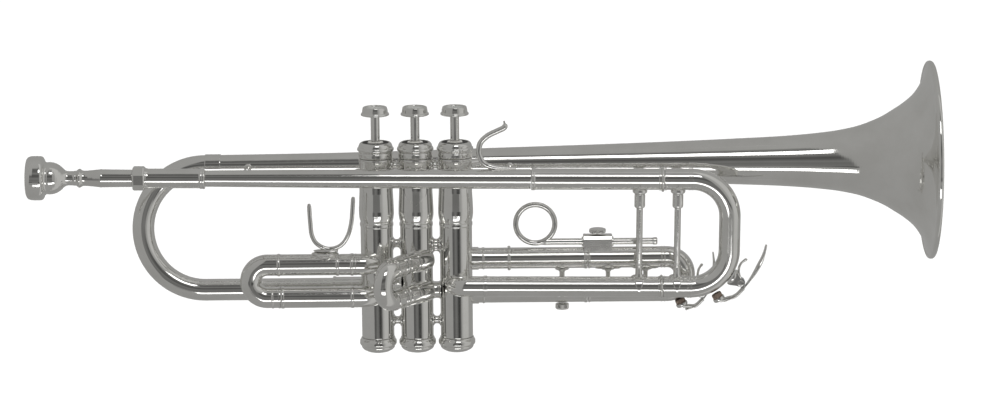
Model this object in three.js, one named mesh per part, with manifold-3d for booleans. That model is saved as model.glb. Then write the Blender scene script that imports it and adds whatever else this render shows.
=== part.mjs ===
// A B-flat piston trumpet as a bench assembly: valve block, pipes, slides, water keys and mouthpiece.
// Millimetres. +X runs from the mouthpiece to the bell, +Z up along the valves, +Y to the player's left.
// The origin is on the axis of the second valve, at the height of the bell's axis.
import * as THREE from 'three';
import { mergeVertices } from 'three/addons/utils/BufferGeometryUtils.js';
import Module from 'manifold-3d';

const wasm = await Module();
wasm.setup();

// ---- driving dimensions ----------------------------------------------------------------------
const GAP = 0.3; // between pieces that touch or slide on each other
const WALL = 0.8; // tube wall

const VALVE_PITCH = 24.4;
const CASING_RADIUS = 10;
const CASING_UPPER_RADIUS = 10.3;
const CASING_BULGE_RADIUS = 10.8;
const CASING_TOP = 8.3;
const CASING_BOTTOM = -104.2;
const CASING_STEP = -31;
const BORE_RADIUS = 8.75;
const NECK_RADIUS = 9.55; // threaded necks under the caps
const CAP_RADIUS = 11.4;
const CAP_TOP = 18.1;
const CAP_HOLE_RADIUS = 3.3;
const CAP_BOTTOM = -114.2;
const PISTON_RADIUS = 8.4;
const PISTON_TOP = -30;
const PISTON_BOTTOM = -91.5;
const BARREL_TOP = 15.4; // spring barrel on top of the piston
const GUIDE_BOTTOM = -27;
const GUIDE_HEIGHT = 4;
const STEM_RADIUS = 2.7;
const BUTTON_BOTTOM = 35;
const BUTTON_RADIUS = 8.8;

const BELL_Y = 22;
const BELL_START = -129.1;
const BELL_SEAM = 230;
const BELL_RIM = 320.7;
const BELL_RIM_RADIUS = 61;
const BELL_WALL = 1;
const BOW_RADIUS = 6.75; // of the bell bow's tube
const BOW_LEG_Z = -75.6;
const BOW_LEG_Y = 8;

const LEAD_Y = -20;
const LEAD_Z = -1.2;
const LEAD_SLOPE = THREE.MathUtils.degToRad(0.6); // falls towards the bell
const RECEIVER_START = -172;
const RECEIVER_END = -128;
const LEAD_END = 70.7;

const SLIDE_RADIUS = 6.55;
const SLIDE_BORE = 5.75;
const INNER_RADIUS = 5.4;
const FINEST = 0.02; // no edge is kept shorter than this
const LEG_SEAT = 2.5; // how far an inner leg is seated in its bow
const MAIN_OUTER_START = 71;
const MAIN_OUTER_END = 152.3;
const MAIN_BEND_RADIUS = 23.6;
const MAIN_BEND_X = 169.1;
const MAIN_DROP = 68.6; // between the two legs of the main tuning slide
const MAIN_SHIFT_Y = 6; // the lower leg lies nearer to the valves
const MAIN_LOWER_RADIUS = 6.35;

const FIRST_Y = -12;
const FIRST_TOP_Z = -56;
const FIRST_BOTTOM_Z = -76.4;
const FIRST_CROOK_X = -91.8;
const FIRST_TOP_SEAM = -47;
const FIRST_BOTTOM_SEAM = -83.6;

const SECOND_START = new THREE.Vector2(4.6, -5.5);
const SECOND_ANGLE = THREE.MathUtils.degToRad(-125.3); // direction of the second slide from +X
const SECOND_TOP_Z = -54.5;
const SECOND_BOTTOM_Z = -74.5;
const SECOND_RADIUS = 6.1;
const SECOND_BORE = 5.35;
const SECOND_INNER_RADIUS = 5;
const SECOND_SEAM = 24;
const SECOND_CROOK = 32.3;

const THIRD_Y = 5;
const THIRD_TOP_Z = -56.5;
const THIRD_BOTTOM_Z = -78;
const THIRD_SEAM = 105.7;
const THIRD_CROOK_X = 155;

const MOUTHPIECE_FACE = -236.8;
const MOUTHPIECE_LENGTH = 88;

const ROUND_SIDES = 10;
const VALVE_SIDES = 12;
const BELL_SIDES = 20;
const MOUTHPIECE_SIDES = 14;
const PISTON_SIDES = 10;
const WIRE_SIDES = 6;
const RECEIVER_SIDES = 8; // the collar at its mouth is an octagon

// ---- finishes --------------------------------------------------------------------------------
const finish = (color, roughness, metalness) => {
  return new THREE.MeshStandardMaterial({ color, roughness, metalness });
};
const SILVER = finish(0xb9b9b2, 0.15, 1);
const STEEL = finish(0x9aa0a4, 0.3, 1);
const NICKEL = finish(0xa9a79c, 0.25, 1);
const CORK = finish(0x8a5a34, 0.9, 0);

// ---- solids ----------------------------------------------------------------------------------
const X_AXIS = new THREE.Vector3(1, 0, 0);
const vec = (x, y, z) => new THREE.Vector3(x, y, z);

function signedVolume(geometry) {
  const at = geometry.attributes.position;
  const index = geometry.index;
  const [a, b, c] = [vec(), vec(), vec()];
  let volume = 0;
  for (let i = 0; i < index.count; i += 3) {
    a.fromBufferAttribute(at, index.getX(i));
    b.fromBufferAttribute(at, index.getX(i + 1));
    c.fromBufferAttribute(at, index.getX(i + 2));
    volume += a.dot(b.cross(c));
  }
  return volume;
}

// A closed geometry as a manifold solid, its faces turned outwards.
function solid(geometry) {
  const bare = geometry.clone();
  bare.deleteAttribute('normal');
  bare.deleteAttribute('uv');
  const merged = mergeVertices(bare, 1e-4);
  const triangles = Array.from(merged.index.array);
  if (signedVolume(merged) < 0) triangles.reverse();
  return new wasm.Manifold(new wasm.Mesh({
    numProp: 3,
    vertProperties: new Float32Array(merged.attributes.position.array),
    triVerts: new Uint32Array(triangles),
  }));
}

function geometryOf(manifold) {
  const mesh = manifold.simplify(FINEST).getMesh();
  const geometry = new THREE.BufferGeometry();
  geometry.setAttribute('position', new THREE.BufferAttribute(mesh.vertProperties, 3));
  geometry.setIndex(new THREE.BufferAttribute(mesh.triVerts, 1));
  return geometry;
}

const join = (...solids) => solids.reduce((all, one) => all.add(one));
const cut = (body, ...tools) => tools.reduce((rest, tool) => rest.subtract(tool), body);

// Radius of the corners of a polygon whose flats are at the given radius.
const aroundFlats = (radius, sides) => radius / Math.cos(Math.PI / sides);

// A turned piece. The outline is [radius, height] pairs, closed on the axis or on itself.
function turned(outline, sides, direction = vec(0, 0, 1), at = vec(0, 0, 0)) {
  const profile = outline.map(([radius, height]) => new THREE.Vector2(radius, height));
  const onAxis = outline[0][0] === 0 && outline[outline.length - 1][0] === 0;
  if (!onAxis) profile.push(profile[0].clone());
  const geometry = new THREE.LatheGeometry(profile, sides);
  geometry.applyQuaternion(new THREE.Quaternion().setFromUnitVectors(vec(0, 1, 0), direction));
  geometry.translate(at.x, at.y, at.z);
  return solid(geometry);
}

// A round bar from one point to another.
function bar(from, to, radius, sides = ROUND_SIDES) {
  const length = from.distanceTo(to);
  const outline = [[0, 0], [radius, 0], [radius, length], [0, length]];
  return turned(outline, sides, to.clone().sub(from).normalize(), from);
}

// The room that a round piece of the given radius takes, measured over its flats.
const roomFor = (from, to, radius, sides = ROUND_SIDES) => {
  return bar(from, to, aroundFlats(radius, sides), sides);
};

// A straight pipe whose bore keeps its full radius between its flats.
function pipe(from, to, radius, bore, sides = ROUND_SIDES) {
  const length = from.distanceTo(to);
  const hole = aroundFlats(bore, sides);
  const outline = [[hole, 0], [radius, 0], [radius, length], [hole, length]];
  return turned(outline, sides, to.clone().sub(from).normalize(), from);
}

// A route through given points, for pieces that follow a bent centreline.
class Route extends THREE.Curve {
  constructor(points) {
    super();
    this.points = points;
  }

  getSpacedPoints() {
    return this.points;
  }

  getTangentAt(u, target = vec()) {
    const last = this.points.length - 1;
    const i = Math.round(u * last);
    const ahead = this.points[Math.min(i + 1, last)];
    const behind = this.points[Math.max(i - 1, 0)];
    return target.copy(ahead).sub(behind).normalize();
  }
}

// A round bar along a route.
function bent(points, radius, sides = ROUND_SIDES) {
  const section = new THREE.Shape();
  for (let i = 0; i < sides; i += 1) {
    const angle = (2 * Math.PI * i) / sides;
    section[i ? 'lineTo' : 'moveTo'](radius * Math.cos(angle), radius * Math.sin(angle));
  }
  const extrudePath = new Route(points);
  return solid(new THREE.ExtrudeGeometry(section, { steps: points.length - 1, extrudePath }));
}

// Points of an arc about a centre, from one radius vector to another at right angles to it.
function arc(centre, start, side, from, to, steps) {
  const points = [];
  for (let i = 0; i <= steps; i += 1) {
    const angle = THREE.MathUtils.degToRad(from + ((to - from) * i) / steps);
    const point = centre.clone();
    point.addScaledVector(start, Math.cos(angle)).addScaledVector(side, Math.sin(angle));
    points.push(point);
  }
  return points;
}

// A slide: a bow of one radius with thinner inner legs, open from end to end.
function slideBody(bow, legs, bowRadius, legRadius) {
  const sleeve = bent(bow, bowRadius);
  const bores = legs.map(([tip, root]) => {
    const past = tip.clone().sub(root).normalize();
    return bar(tip.clone().add(past), root, legRadius - WALL);
  });
  const inner = legs.map(([tip, root]) => bar(tip, root, legRadius));
  const first = bow[0].clone().lerp(bow[1], LEG_SEAT / bow[0].distanceTo(bow[1]));
  const last = bow.length - 1;
  const end = bow[last].clone().lerp(bow[last - 1], LEG_SEAT / bow[last].distanceTo(bow[last - 1]));
  const hollow = bent([first, ...bow.slice(1, last), end], bowRadius - WALL);
  return cut(join(sleeve, ...inner), hollow, ...bores);
}

// A smooth route through a few points.
const smooth = (points, steps) => new THREE.CatmullRomCurve3(points).getPoints(steps);

// A flat plate: an outline of [x, z] pairs, as thick as given along Y and centred on y.
function plate(outline, y, thickness) {
  const shape = new THREE.Shape(outline.map(([x, z]) => new THREE.Vector2(x, z)));
  const geometry = new THREE.ExtrudeGeometry(shape, { depth: thickness, bevelEnabled: false });
  geometry.rotateX(Math.PI / 2);
  geometry.translate(0, y + thickness / 2, 0);
  return solid(geometry);
}

// A strip of even thickness along a path of [x, z] pairs.
function strip(path, thickness) {
  const side = (sign) => path.map(([x, z], i) => {
    const [ax, az] = path[Math.max(i - 1, 0)];
    const [bx, bz] = path[Math.min(i + 1, path.length - 1)];
    const length = Math.hypot(bx - ax, bz - az);
    const reach = (sign * thickness) / 2 / length;
    return [x - (bz - az) * reach, z + (bx - ax) * reach];
  });
  return [...side(1), ...side(-1).reverse()];
}

// ---- scene -----------------------------------------------------------------------------------
const trumpet = new THREE.Group();
const leadFrame = new THREE.Group(); // x runs down the leadpipe's axis
leadFrame.position.set(0, LEAD_Y, LEAD_Z);
leadFrame.rotation.y = LEAD_SLOPE;
leadFrame.updateMatrixWorld();
trumpet.add(leadFrame);

function addTo(parent, name, body, material = SILVER) {
  const mesh = new THREE.Mesh(geometryOf(body), material);
  mesh.name = name;
  parent.add(mesh);
  return mesh;
}
const add = (name, body, material) => addTo(trumpet, name, body, material);
const addToLead = (name, body, material) => addTo(leadFrame, name, body, material);

// A tool made in the trumpet's frame, moved into the leadpipe's frame.
function inLeadFrame(body) {
  const geometry = geometryOf(body);
  geometry.applyMatrix4(leadFrame.matrixWorld.clone().invert());
  return solid(geometry);
}

// ---- valves ----------------------------------------------------------------------------------
const VALVES = [1, 2, 3];
const valveX = (number) => (number - 2) * VALVE_PITCH;

function casingKeepOut(number, margin = GAP) {
  const radius = aroundFlats(CASING_RADIUS + margin, VALVE_SIDES);
  const x = valveX(number);
  return bar(vec(x, 0, CASING_BOTTOM - 1), vec(x, 0, CASING_STEP), radius, VALVE_SIDES);
}

function casing(number) {
  const bore = aroundFlats(BORE_RADIUS, VALVE_SIDES);
  const outline = [
    [bore, CASING_BOTTOM - 5],
    [NECK_RADIUS, CASING_BOTTOM - 5],
    [NECK_RADIUS, CASING_BOTTOM],
    [CASING_RADIUS, CASING_BOTTOM],
    [CASING_RADIUS, CASING_STEP - 0.2],
    [CASING_BULGE_RADIUS, CASING_STEP + 0.8],
    [CASING_BULGE_RADIUS, CASING_STEP + 11],
    [CASING_UPPER_RADIUS, CASING_STEP + 19],
    [CASING_UPPER_RADIUS, CASING_TOP],
    [NECK_RADIUS, CASING_TOP],
    [NECK_RADIUS, CASING_TOP + 6],
    [bore, CASING_TOP + 6],
  ];
  return turned(outline, VALVE_SIDES, vec(0, 0, 1), vec(valveX(number), 0, 0));
}

// The ties that hold a casing to the next one, brazed to the middle casing.
const TIES = [
  { z: 3.4, radius: 2.2 },
  { z: -45.4, radius: 3.4 },
  { z: -94, radius: 2.9 },
];
const PORT_TIE = { z: -75, radius: 4.9 }; // the air way between the second and third valves

function middleCasing() {
  const inside = bar(vec(0, 0, CASING_BOTTOM - 6), vec(0, 0, CASING_TOP + 7), BORE_RADIUS + 0.4, VALVE_SIDES);
  const ends = [1, 3].map((number) => {
    const x = valveX(number);
    const radius = aroundFlats(CASING_BULGE_RADIUS + GAP, VALVE_SIDES);
    const low = bar(vec(x, 0, CASING_BOTTOM), vec(x, 0, CASING_STEP), CASING_RADIUS + GAP + 0.1, VALVE_SIDES);
    return low.add(bar(vec(x, 0, CASING_STEP), vec(x, 0, CASING_TOP + 2), radius, VALVE_SIDES));
  });
  const reach = VALVE_PITCH / 2 + 2.4;
  const ties = TIES.map(({ z, radius }) => {
    return bar(vec(-reach, 0, z), vec(reach, 0, z), radius, 8);
  });
  const port = bar(vec(8, 0, PORT_TIE.z), vec(reach, 0, PORT_TIE.z), PORT_TIE.radius, 8);
  return casing(2).add(cut(join(...ties, port), inside, ...ends));
}

function topCap(number) {
  const inner = aroundFlats(NECK_RADIUS + GAP, VALVE_SIDES);
  const outline = [
    [inner, CASING_TOP + GAP],
    [CAP_RADIUS - 0.6, CASING_TOP + GAP],
    [CAP_RADIUS, 12.4],
    [CAP_RADIUS, 14.4],
    [9.1, CAP_TOP],
    [CAP_HOLE_RADIUS, CAP_TOP],
    [CAP_HOLE_RADIUS, CAP_TOP - 1.3],
    [inner, CAP_TOP - 1.3],
  ];
  return turned(outline, VALVE_SIDES, vec(0, 0, 1), vec(valveX(number), 0, 0));
}

function bottomCap(number) {
  const inner = aroundFlats(NECK_RADIUS + GAP, VALVE_SIDES);
  const outline = [
    [2.4, CAP_BOTTOM],
    [7, CAP_BOTTOM + 1],
    [10.5, CAP_BOTTOM + 4],
    [CAP_RADIUS, CAP_BOTTOM + 5.4],
    [CAP_RADIUS, CAP_BOTTOM + 8],
    [10.6, CASING_BOTTOM - 0.8],
    [10.6, CASING_BOTTOM - GAP],
    [inner, CASING_BOTTOM - GAP],
    [inner, CAP_BOTTOM + 4.5],
    [2.4, CAP_BOTTOM + 2],
  ];
  return turned(outline, VALVE_SIDES, vec(0, 0, 1), vec(valveX(number), 0, 0));
}

// The three air ways through a piston, as [height, turn in degrees].
const AIR_WAYS = [[-43.5, 9], [-61, 45], [-78.5, 117]];

function piston(number) {
  const skin = PISTON_RADIUS - WALL;
  const shell = turned([
    [skin, PISTON_BOTTOM],
    [PISTON_RADIUS, PISTON_BOTTOM],
    [PISTON_RADIUS, BARREL_TOP],
    [STEM_RADIUS, BARREL_TOP],
    [STEM_RADIUS, BUTTON_BOTTOM + 2.6],
    [0.9, BUTTON_BOTTOM + 2.6],
    [0.9, BARREL_TOP - 1.4],
    [skin, BARREL_TOP - 1.4],
    [skin, GUIDE_BOTTOM - 1.6],
    [0.9, GUIDE_BOTTOM - 1.6],
    [0.9, GUIDE_BOTTOM - 2.8],
    [skin, GUIDE_BOTTOM - 2.8],
  ], PISTON_SIDES);
  const slot = new THREE.BoxGeometry(5.6, 24, 22.4);
  slot.translate(0, 0, GUIDE_BOTTOM + 9.8);
  let body = shell.subtract(solid(slot));
  const ways = AIR_WAYS.map(([z, turn]) => {
    const angle = THREE.MathUtils.degToRad(turn);
    const reach = vec(Math.cos(angle), Math.sin(angle), 0).multiplyScalar(PISTON_RADIUS + 2);
    return [reach.clone().negate().setZ(z), reach.clone().setZ(z)];
  });
  const round = bar(vec(0, 0, PISTON_BOTTOM), vec(0, 0, PISTON_TOP), PISTON_RADIUS - 0.3, PISTON_SIDES);
  ways.forEach(([from, to]) => {
    body = body.add(bar(from, to, 6.6, 8).intersect(round));
  });
  ways.forEach(([from, to]) => {
    body = body.subtract(bar(from, to, 5.6, 8));
  });
  return body.translate(valveX(number), 0, 0);
}

function valveGuide(number) {
  const outline = [[2.6, GUIDE_BOTTOM], [6.9, GUIDE_BOTTOM]];
  outline.push([6.9, GUIDE_BOTTOM + GUIDE_HEIGHT], [2.6, GUIDE_BOTTOM + GUIDE_HEIGHT]);
  const keys = new THREE.BoxGeometry(4.6, 2 * BORE_RADIUS - 0.9, GUIDE_HEIGHT);
  keys.translate(0, 0, GUIDE_BOTTOM + GUIDE_HEIGHT / 2);
  const hole = bar(vec(0, 0, GUIDE_BOTTOM - 1), vec(0, 0, GUIDE_BOTTOM + GUIDE_HEIGHT + 1), 2.6, 8);
  return turned(outline, 8).add(solid(keys)).subtract(hole).translate(valveX(number), 0, 0);
}

function helix(radius, from, to, turns, stepsPerTurn) {
  const points = [];
  const steps = turns * stepsPerTurn;
  for (let i = 0; i <= steps; i += 1) {
    const angle = (2 * Math.PI * i) / stepsPerTurn;
    points.push(vec(radius * Math.cos(angle), radius * Math.sin(angle), from + ((to - from) * i) / steps));
  }
  return points;
}

function valveSpring(number) {
  const low = GUIDE_BOTTOM + GUIDE_HEIGHT + 0.9;
  const high = BARREL_TOP - 2.3;
  return bent(helix(5.4, low, high, 6, 6), 0.5, 3).translate(valveX(number), 0, 0);
}

function fingerButton(number) {
  const outline = [
    [0, 39.4],
    [5.8, 39.4],
    [7.1, 40.4],
    [8, 39.8],
    [BUTTON_RADIUS, 37.6],
    [BUTTON_RADIUS, 36.6],
    [7.6, BUTTON_BOTTOM + 0.3],
    [4, BUTTON_BOTTOM],
    [STEM_RADIUS + GAP, BUTTON_BOTTOM],
    [STEM_RADIUS + GAP, 38],
    [0, 38],
  ];
  return turned(outline, 12, vec(0, 0, 1), vec(valveX(number), 0, 0));
}

VALVES.forEach((number) => {
  add(`valve_casing_${number}`, number === 2 ? middleCasing() : casing(number));
  add(`top_cap_${number}`, topCap(number));
  add(`bottom_cap_${number}`, bottomCap(number));
  add(`piston_${number}`, piston(number), NICKEL);
  add(`valve_guide_${number}`, valveGuide(number), NICKEL);
  add(`valve_spring_${number}`, valveSpring(number), STEEL);
  add(`finger_button_${number}`, fingerButton(number));
});

// ---- bell and bell bow -----------------------------------------------------------------------
// The bell's outer radius along its axis: a slow taper that opens into the flare. It is made of a
// stem and a flare that meet at the seam.
const BELL_PROFILE = [
  [BELL_START, 6.7],
  [-41.7, 7.65],
  [51.8, 9.85],
  [114.1, 11.4],
  [160, 12.8],
  [200.1, 14.3],
  [BELL_SEAM, 15.7],
  [251.2, 17.5],
  [263.8, 19.2],
  [276.3, 22.1],
  [289.4, 27.4],
  [296, 31.3],
  [302.6, 35.6],
  [309.2, 41.2],
  [315.4, 49.2],
  [318.8, 56.2],
  [BELL_RIM - 1.6, 59.6],
];

// Which points of the profile each part of the bell takes, outside and inside its wall.
const STEM_POINTS = { outer: [0, 1, 2, 3, 4, 5, 6], inner: [0, 2, 4, 6] };
const FLARE_POINTS = {
  outer: [6, 7, 8, 9, 10, 11, 12, 13, 14, 15, 16],
  inner: [6, 8, 9, 10, 11, 12, 13, 14, 15],
};

// The inside of the wall at one point of the profile.
function insideBell(i) {
  const [x, radius] = BELL_PROFILE[i];
  const [nextX, nextRadius] = BELL_PROFILE[i + 1];
  const [priorX, priorRadius] = BELL_PROFILE[Math.max(i - 1, 0)];
  const slope = Math.atan2(nextRadius - priorRadius, nextX - priorX);
  return [radius - BELL_WALL * Math.cos(slope), x + BELL_WALL * Math.sin(slope)];
}

// One part of the bell between two ends; rim holds any further points at its far end.
function bellPart(points, start, end, rim = []) {
  const within = (x) => THREE.MathUtils.clamp(x, start, end);
  const outer = points.outer.map((i) => [BELL_PROFILE[i][1], within(BELL_PROFILE[i][0])]);
  const inner = points.inner.map(insideBell).map(([radius, x]) => [radius, within(x)]);
  return turned([...outer, ...rim, ...inner.reverse()], BELL_SIDES, X_AXIS, vec(0, BELL_Y, 0));
}

function bellFlare() {
  const rim = [
    [BELL_RIM_RADIUS, BELL_RIM - 2.2],
    [BELL_RIM_RADIUS + 0.6, BELL_RIM - 1],
    [BELL_RIM_RADIUS, BELL_RIM],
    [59.4, BELL_RIM],
  ];
  return bellPart(FLARE_POINTS, BELL_SEAM + GAP / 2, BELL_RIM, rim);
}

function bellBow() {
  const start = vec(BELL_START - GAP, BELL_Y, 0);
  const top = start.clone().sub(vec(2, 0, 0));
  const bottom = vec(top.x, BOW_LEG_Y, BOW_LEG_Z);
  const centre = top.clone().lerp(bottom, 0.5);
  const up = top.clone().sub(centre);
  const back = vec(-up.length(), 0, 0);
  const bend = arc(centre, up, back, 0, 180, 12);
  const leg = vec(valveX(1) - 6, BOW_LEG_Y, BOW_LEG_Z);
  const way = [start.clone().add(vec(1, 0, 0)), ...bend, leg.clone().add(vec(2, 0, 0))];
  const ferrule = bar(vec(-51, BOW_LEG_Y, BOW_LEG_Z), leg, 7.35);
  const body = bent([start, ...bend, leg], BOW_RADIUS).add(ferrule);
  return cut(body, bent(way, BOW_RADIUS - WALL), casingKeepOut(1));
}

add('bell_stem', bellPart(STEM_POINTS, BELL_START, BELL_SEAM - GAP / 2));
add('bell_flare', bellFlare());
add('bell_bow', bellBow());

// ---- leadpipe and receiver -------------------------------------------------------------------
function leadpipe() {
  const outer = [[RECEIVER_END - 5.7, 4.75], [RECEIVER_END + GAP, 4.75], [RECEIVER_END + GAP, 5.05]];
  outer.push([-95, 5.3], [-40, 5.75], [0, 6], [LEAD_END, 6.15]);
  const outline = outer.map(([x, radius]) => [radius, x]);
  const inner = [[5.3, LEAD_END], [5.1, 0], [4.4, -95], [3.9, RECEIVER_END - 5.7]];
  return turned([...outline, ...inner], ROUND_SIDES, X_AXIS);
}

const shankRadius = (x) => 5.2 - (x - RECEIVER_START) * 0.02;

function receiver() {
  const bore = (x) => aroundFlats(shankRadius(x) + 0.25, RECEIVER_SIDES);
  const stop = RECEIVER_END - 6;
  const collar = aroundFlats(7.1, RECEIVER_SIDES);
  return turned([
    [bore(RECEIVER_START), RECEIVER_START],
    [collar - 0.4, RECEIVER_START],
    [collar, RECEIVER_START + 1],
    [collar, RECEIVER_START + 7],
    [6, RECEIVER_START + 8.2],
    [6, RECEIVER_END - 2.4],
    [6.5, RECEIVER_END - 2],
    [6.5, RECEIVER_END],
    [5.25, RECEIVER_END],
    [5.25, stop],
    [bore(stop), stop],
  ], RECEIVER_SIDES, X_AXIS);
}

addToLead('leadpipe', leadpipe());
addToLead('mouthpiece_receiver', receiver());

// ---- main tuning slide -----------------------------------------------------------------------
// A point on the main slide: x along it, drop from 0 at the upper leg to 1 at the lower leg.
const onMain = (x, drop) => vec(x, MAIN_SHIFT_Y * drop, -MAIN_DROP * drop);

function mainOuterUpper() {
  const bore = aroundFlats(SLIDE_BORE, ROUND_SIDES);
  return turned([
    [bore, MAIN_OUTER_START],
    [7, MAIN_OUTER_START],
    [7, MAIN_OUTER_START + 2],
    [SLIDE_RADIUS, MAIN_OUTER_START + 2.3],
    [SLIDE_RADIUS, MAIN_OUTER_END - 2.2],
    [7.9, MAIN_OUTER_END - 1.8],
    [7.9, MAIN_OUTER_END - 0.4],
    [7.4, MAIN_OUTER_END],
    [bore, MAIN_OUTER_END],
  ], ROUND_SIDES, X_AXIS);
}

function mainOuterLower() {
  const turn = 7;
  const end = onMain(MAIN_OUTER_END, 1);
  const corner = vec(VALVE_PITCH + turn, end.y + turn, end.z);
  const elbow = arc(corner, vec(0, -turn, 0), vec(-turn, 0, 0), 0, 90, 3);
  const rim = pipe(end.clone().sub(vec(1.8, 0, 0)), end, 7.6, 5);
  const body = join(bent([end, ...elbow], MAIN_LOWER_RADIUS), rim);
  const deep = end.clone().sub(vec(75, 0, 0));
  const socket = bar(deep, end.clone().add(vec(1, 0, 0)), aroundFlats(SLIDE_BORE - 0.1, ROUND_SIDES));
  const way = bent([end, ...elbow], 5.2);
  return cut(body, socket, way, inLeadFrame(casingKeepOut(3)));
}

function mainSlide() {
  const lower = onMain(MAIN_BEND_X, 1);
  const radius = MAIN_BEND_RADIUS;
  const bend = [];
  [[0, 90], [90, 180]].forEach(([from, to], i) => {
    const z = i ? -MAIN_DROP + radius : -radius;
    bend.push(...arc(vec(MAIN_BEND_X, 0, z), vec(0, 0, radius), vec(radius, 0, 0), from, to, 6));
  });
  bend.forEach((point) => {
    point.y = (-point.z / MAIN_DROP) * MAIN_SHIFT_Y;
  });
  const start = MAIN_OUTER_END + GAP;
  const ends = [vec(start, 0, 0), vec(start, lower.y, lower.z)];
  const legs = ends.map((end) => [end.clone().sub(vec(70, 0, 0)), end.clone().add(vec(LEG_SEAT + 1, 0, 0))]);
  return slideBody([ends[0], ...bend, ends[1]], legs, SLIDE_RADIUS, INNER_RADIUS);
}

// A brace between the two legs of the main slide: socket and flange above, foot below.
function mainBrace(x, upperRadius, lowerRadius) {
  const top = onMain(x, 0);
  const foot = onMain(x, 1);
  const axis = foot.clone().sub(top).normalize();
  const length = top.distanceTo(foot);
  const lowest = length - lowerRadius + 1;
  const body = turned([
    [0, upperRadius - 1],
    [4.6, upperRadius - 1],
    [4.2, upperRadius + 1.2],
    [3.4, upperRadius + 1.6],
    [3.3, upperRadius + 10.5],
    [2.3, upperRadius + 11],
    [2.3, lowest - 5],
    [3, lowest - 3.4],
    [4.8, lowest],
    [0, lowest],
  ], 10, axis, top);
  const clear = (point, radius) => {
    return roomFor(point.clone().setX(x - 9), point.clone().setX(x + 9), radius + GAP);
  };
  return cut(body, clear(top, upperRadius), clear(foot, lowerRadius));
}

addToLead('main_slide_outer_upper', mainOuterUpper());
addToLead('main_slide_outer_lower', mainOuterLower());
addToLead('main_slide_outer_brace', mainBrace(137.4, SLIDE_RADIUS, MAIN_LOWER_RADIUS));
addToLead('main_tuning_slide', mainSlide());
addToLead('main_slide_brace', mainBrace(160.7, SLIDE_RADIUS, SLIDE_RADIUS));

// ---- first valve slide -----------------------------------------------------------------------
// A knuckle from a pipe that runs along X at one side of a valve, round into its casing.
function knuckle(x, y, z, turn, towards) {
  const corner = vec(x + towards * turn, y + turn, z);
  return arc(corner, vec(0, -turn, 0), vec(-towards * turn, 0, 0), 0, 90, 3);
}

function firstOuterUpper() {
  const start = vec(FIRST_TOP_SEAM, FIRST_Y, FIRST_TOP_Z);
  const elbow = knuckle(-26, FIRST_Y, FIRST_TOP_Z, 8, -1);
  const ferrule = bar(vec(-40.5, FIRST_Y, FIRST_TOP_Z), vec(-38.5, FIRST_Y, FIRST_TOP_Z), 6.95);
  const spigot = start.clone().sub(vec(38, 0, 0));
  const inner = bar(spigot, start.clone().add(vec(1, 0, 0)), INNER_RADIUS);
  const body = join(bent([start, ...elbow], SLIDE_RADIUS), ferrule, inner);
  const way = [spigot.clone().sub(vec(1, 0, 0)), start, ...elbow];
  return cut(body, bent(way, INNER_RADIUS - WALL), casingKeepOut(1));
}

function firstOuterLower() {
  const start = vec(FIRST_BOTTOM_SEAM, FIRST_Y, FIRST_BOTTOM_Z);
  const elbow = knuckle(-26, FIRST_Y, FIRST_BOTTOM_Z, 8, -1);
  const ferrule = bar(vec(-40.5, FIRST_Y, FIRST_BOTTOM_Z), vec(-38.5, FIRST_Y, FIRST_BOTTOM_Z), 6.95);
  const socket = roomFor(start.clone().sub(vec(1, 0, 0)), start.clone().add(vec(42, 0, 0)), SLIDE_BORE);
  const body = bent([start, ...elbow], SLIDE_RADIUS).add(ferrule);
  return cut(body, socket, bent([start, ...elbow], 5), casingKeepOut(1));
}

function firstSlide() {
  const radius = (FIRST_TOP_Z - FIRST_BOTTOM_Z) / 2;
  const centre = vec(FIRST_CROOK_X, FIRST_Y, FIRST_TOP_Z - radius);
  const crook = arc(centre, vec(0, 0, radius), vec(-radius, 0, 0), 0, 180, 8);
  const top = vec(FIRST_TOP_SEAM - GAP, FIRST_Y, FIRST_TOP_Z);
  const bottom = vec(FIRST_BOTTOM_SEAM - GAP, FIRST_Y, FIRST_BOTTOM_Z);
  const leg = [bottom.clone().add(vec(38, 0, 0)), bottom.clone().sub(vec(LEG_SEAT + 1, 0, 0))];
  const body = slideBody([top, ...crook, bottom], [leg], SLIDE_RADIUS, INNER_RADIUS);
  const deep = top.clone().sub(vec(LEG_SEAT + 1, 0, 0));
  const mouth = bar(deep, top.clone().add(vec(1, 0, 0)), SLIDE_RADIUS - WALL);
  return body.subtract(mouth);
}

// The open U that the thumb rests in, on the upper leg of the first slide.
function thumbHook() {
  const wire = [[-65.3, -17.9], [-64.7, -29.5], [-63.9, -37.3], [-61.7, -42], [-57.7, -45], [-53.4, -46.1]];
  wire.push([-48.7, -45.3], [-45, -42.9], [-41.6, -37.5], [-39.5, -29.7], [-38.7, -21.9], [-38.1, -13.8]);
  const route = smooth(wire.map(([x, z]) => vec(x, FIRST_Y, z)), 17);
  const foot = bar(vec(-64, FIRST_Y, FIRST_TOP_Z + 3), vec(-47.8, FIRST_Y, FIRST_TOP_Z + 3), 6);
  const [left, right] = [-70, -44].map((x) => vec(x, FIRST_Y, FIRST_TOP_Z));
  const sleeve = roomFor(left, right, SLIDE_RADIUS + GAP);
  return bent(route, 1.35, WIRE_SIDES).add(foot).subtract(sleeve);
}

add('first_slide_outer_upper', firstOuterUpper());
add('first_slide_outer_lower', firstOuterLower());
add('first_slide', firstSlide());
add('first_slide_thumb_hook', thumbHook());

// ---- second valve slide ----------------------------------------------------------------------
const secondWay = new THREE.Vector3(Math.cos(SECOND_ANGLE), Math.sin(SECOND_ANGLE), 0);
const onSecond = (along, z) => vec(SECOND_START.x, SECOND_START.y, z).addScaledVector(secondWay, along);

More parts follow.
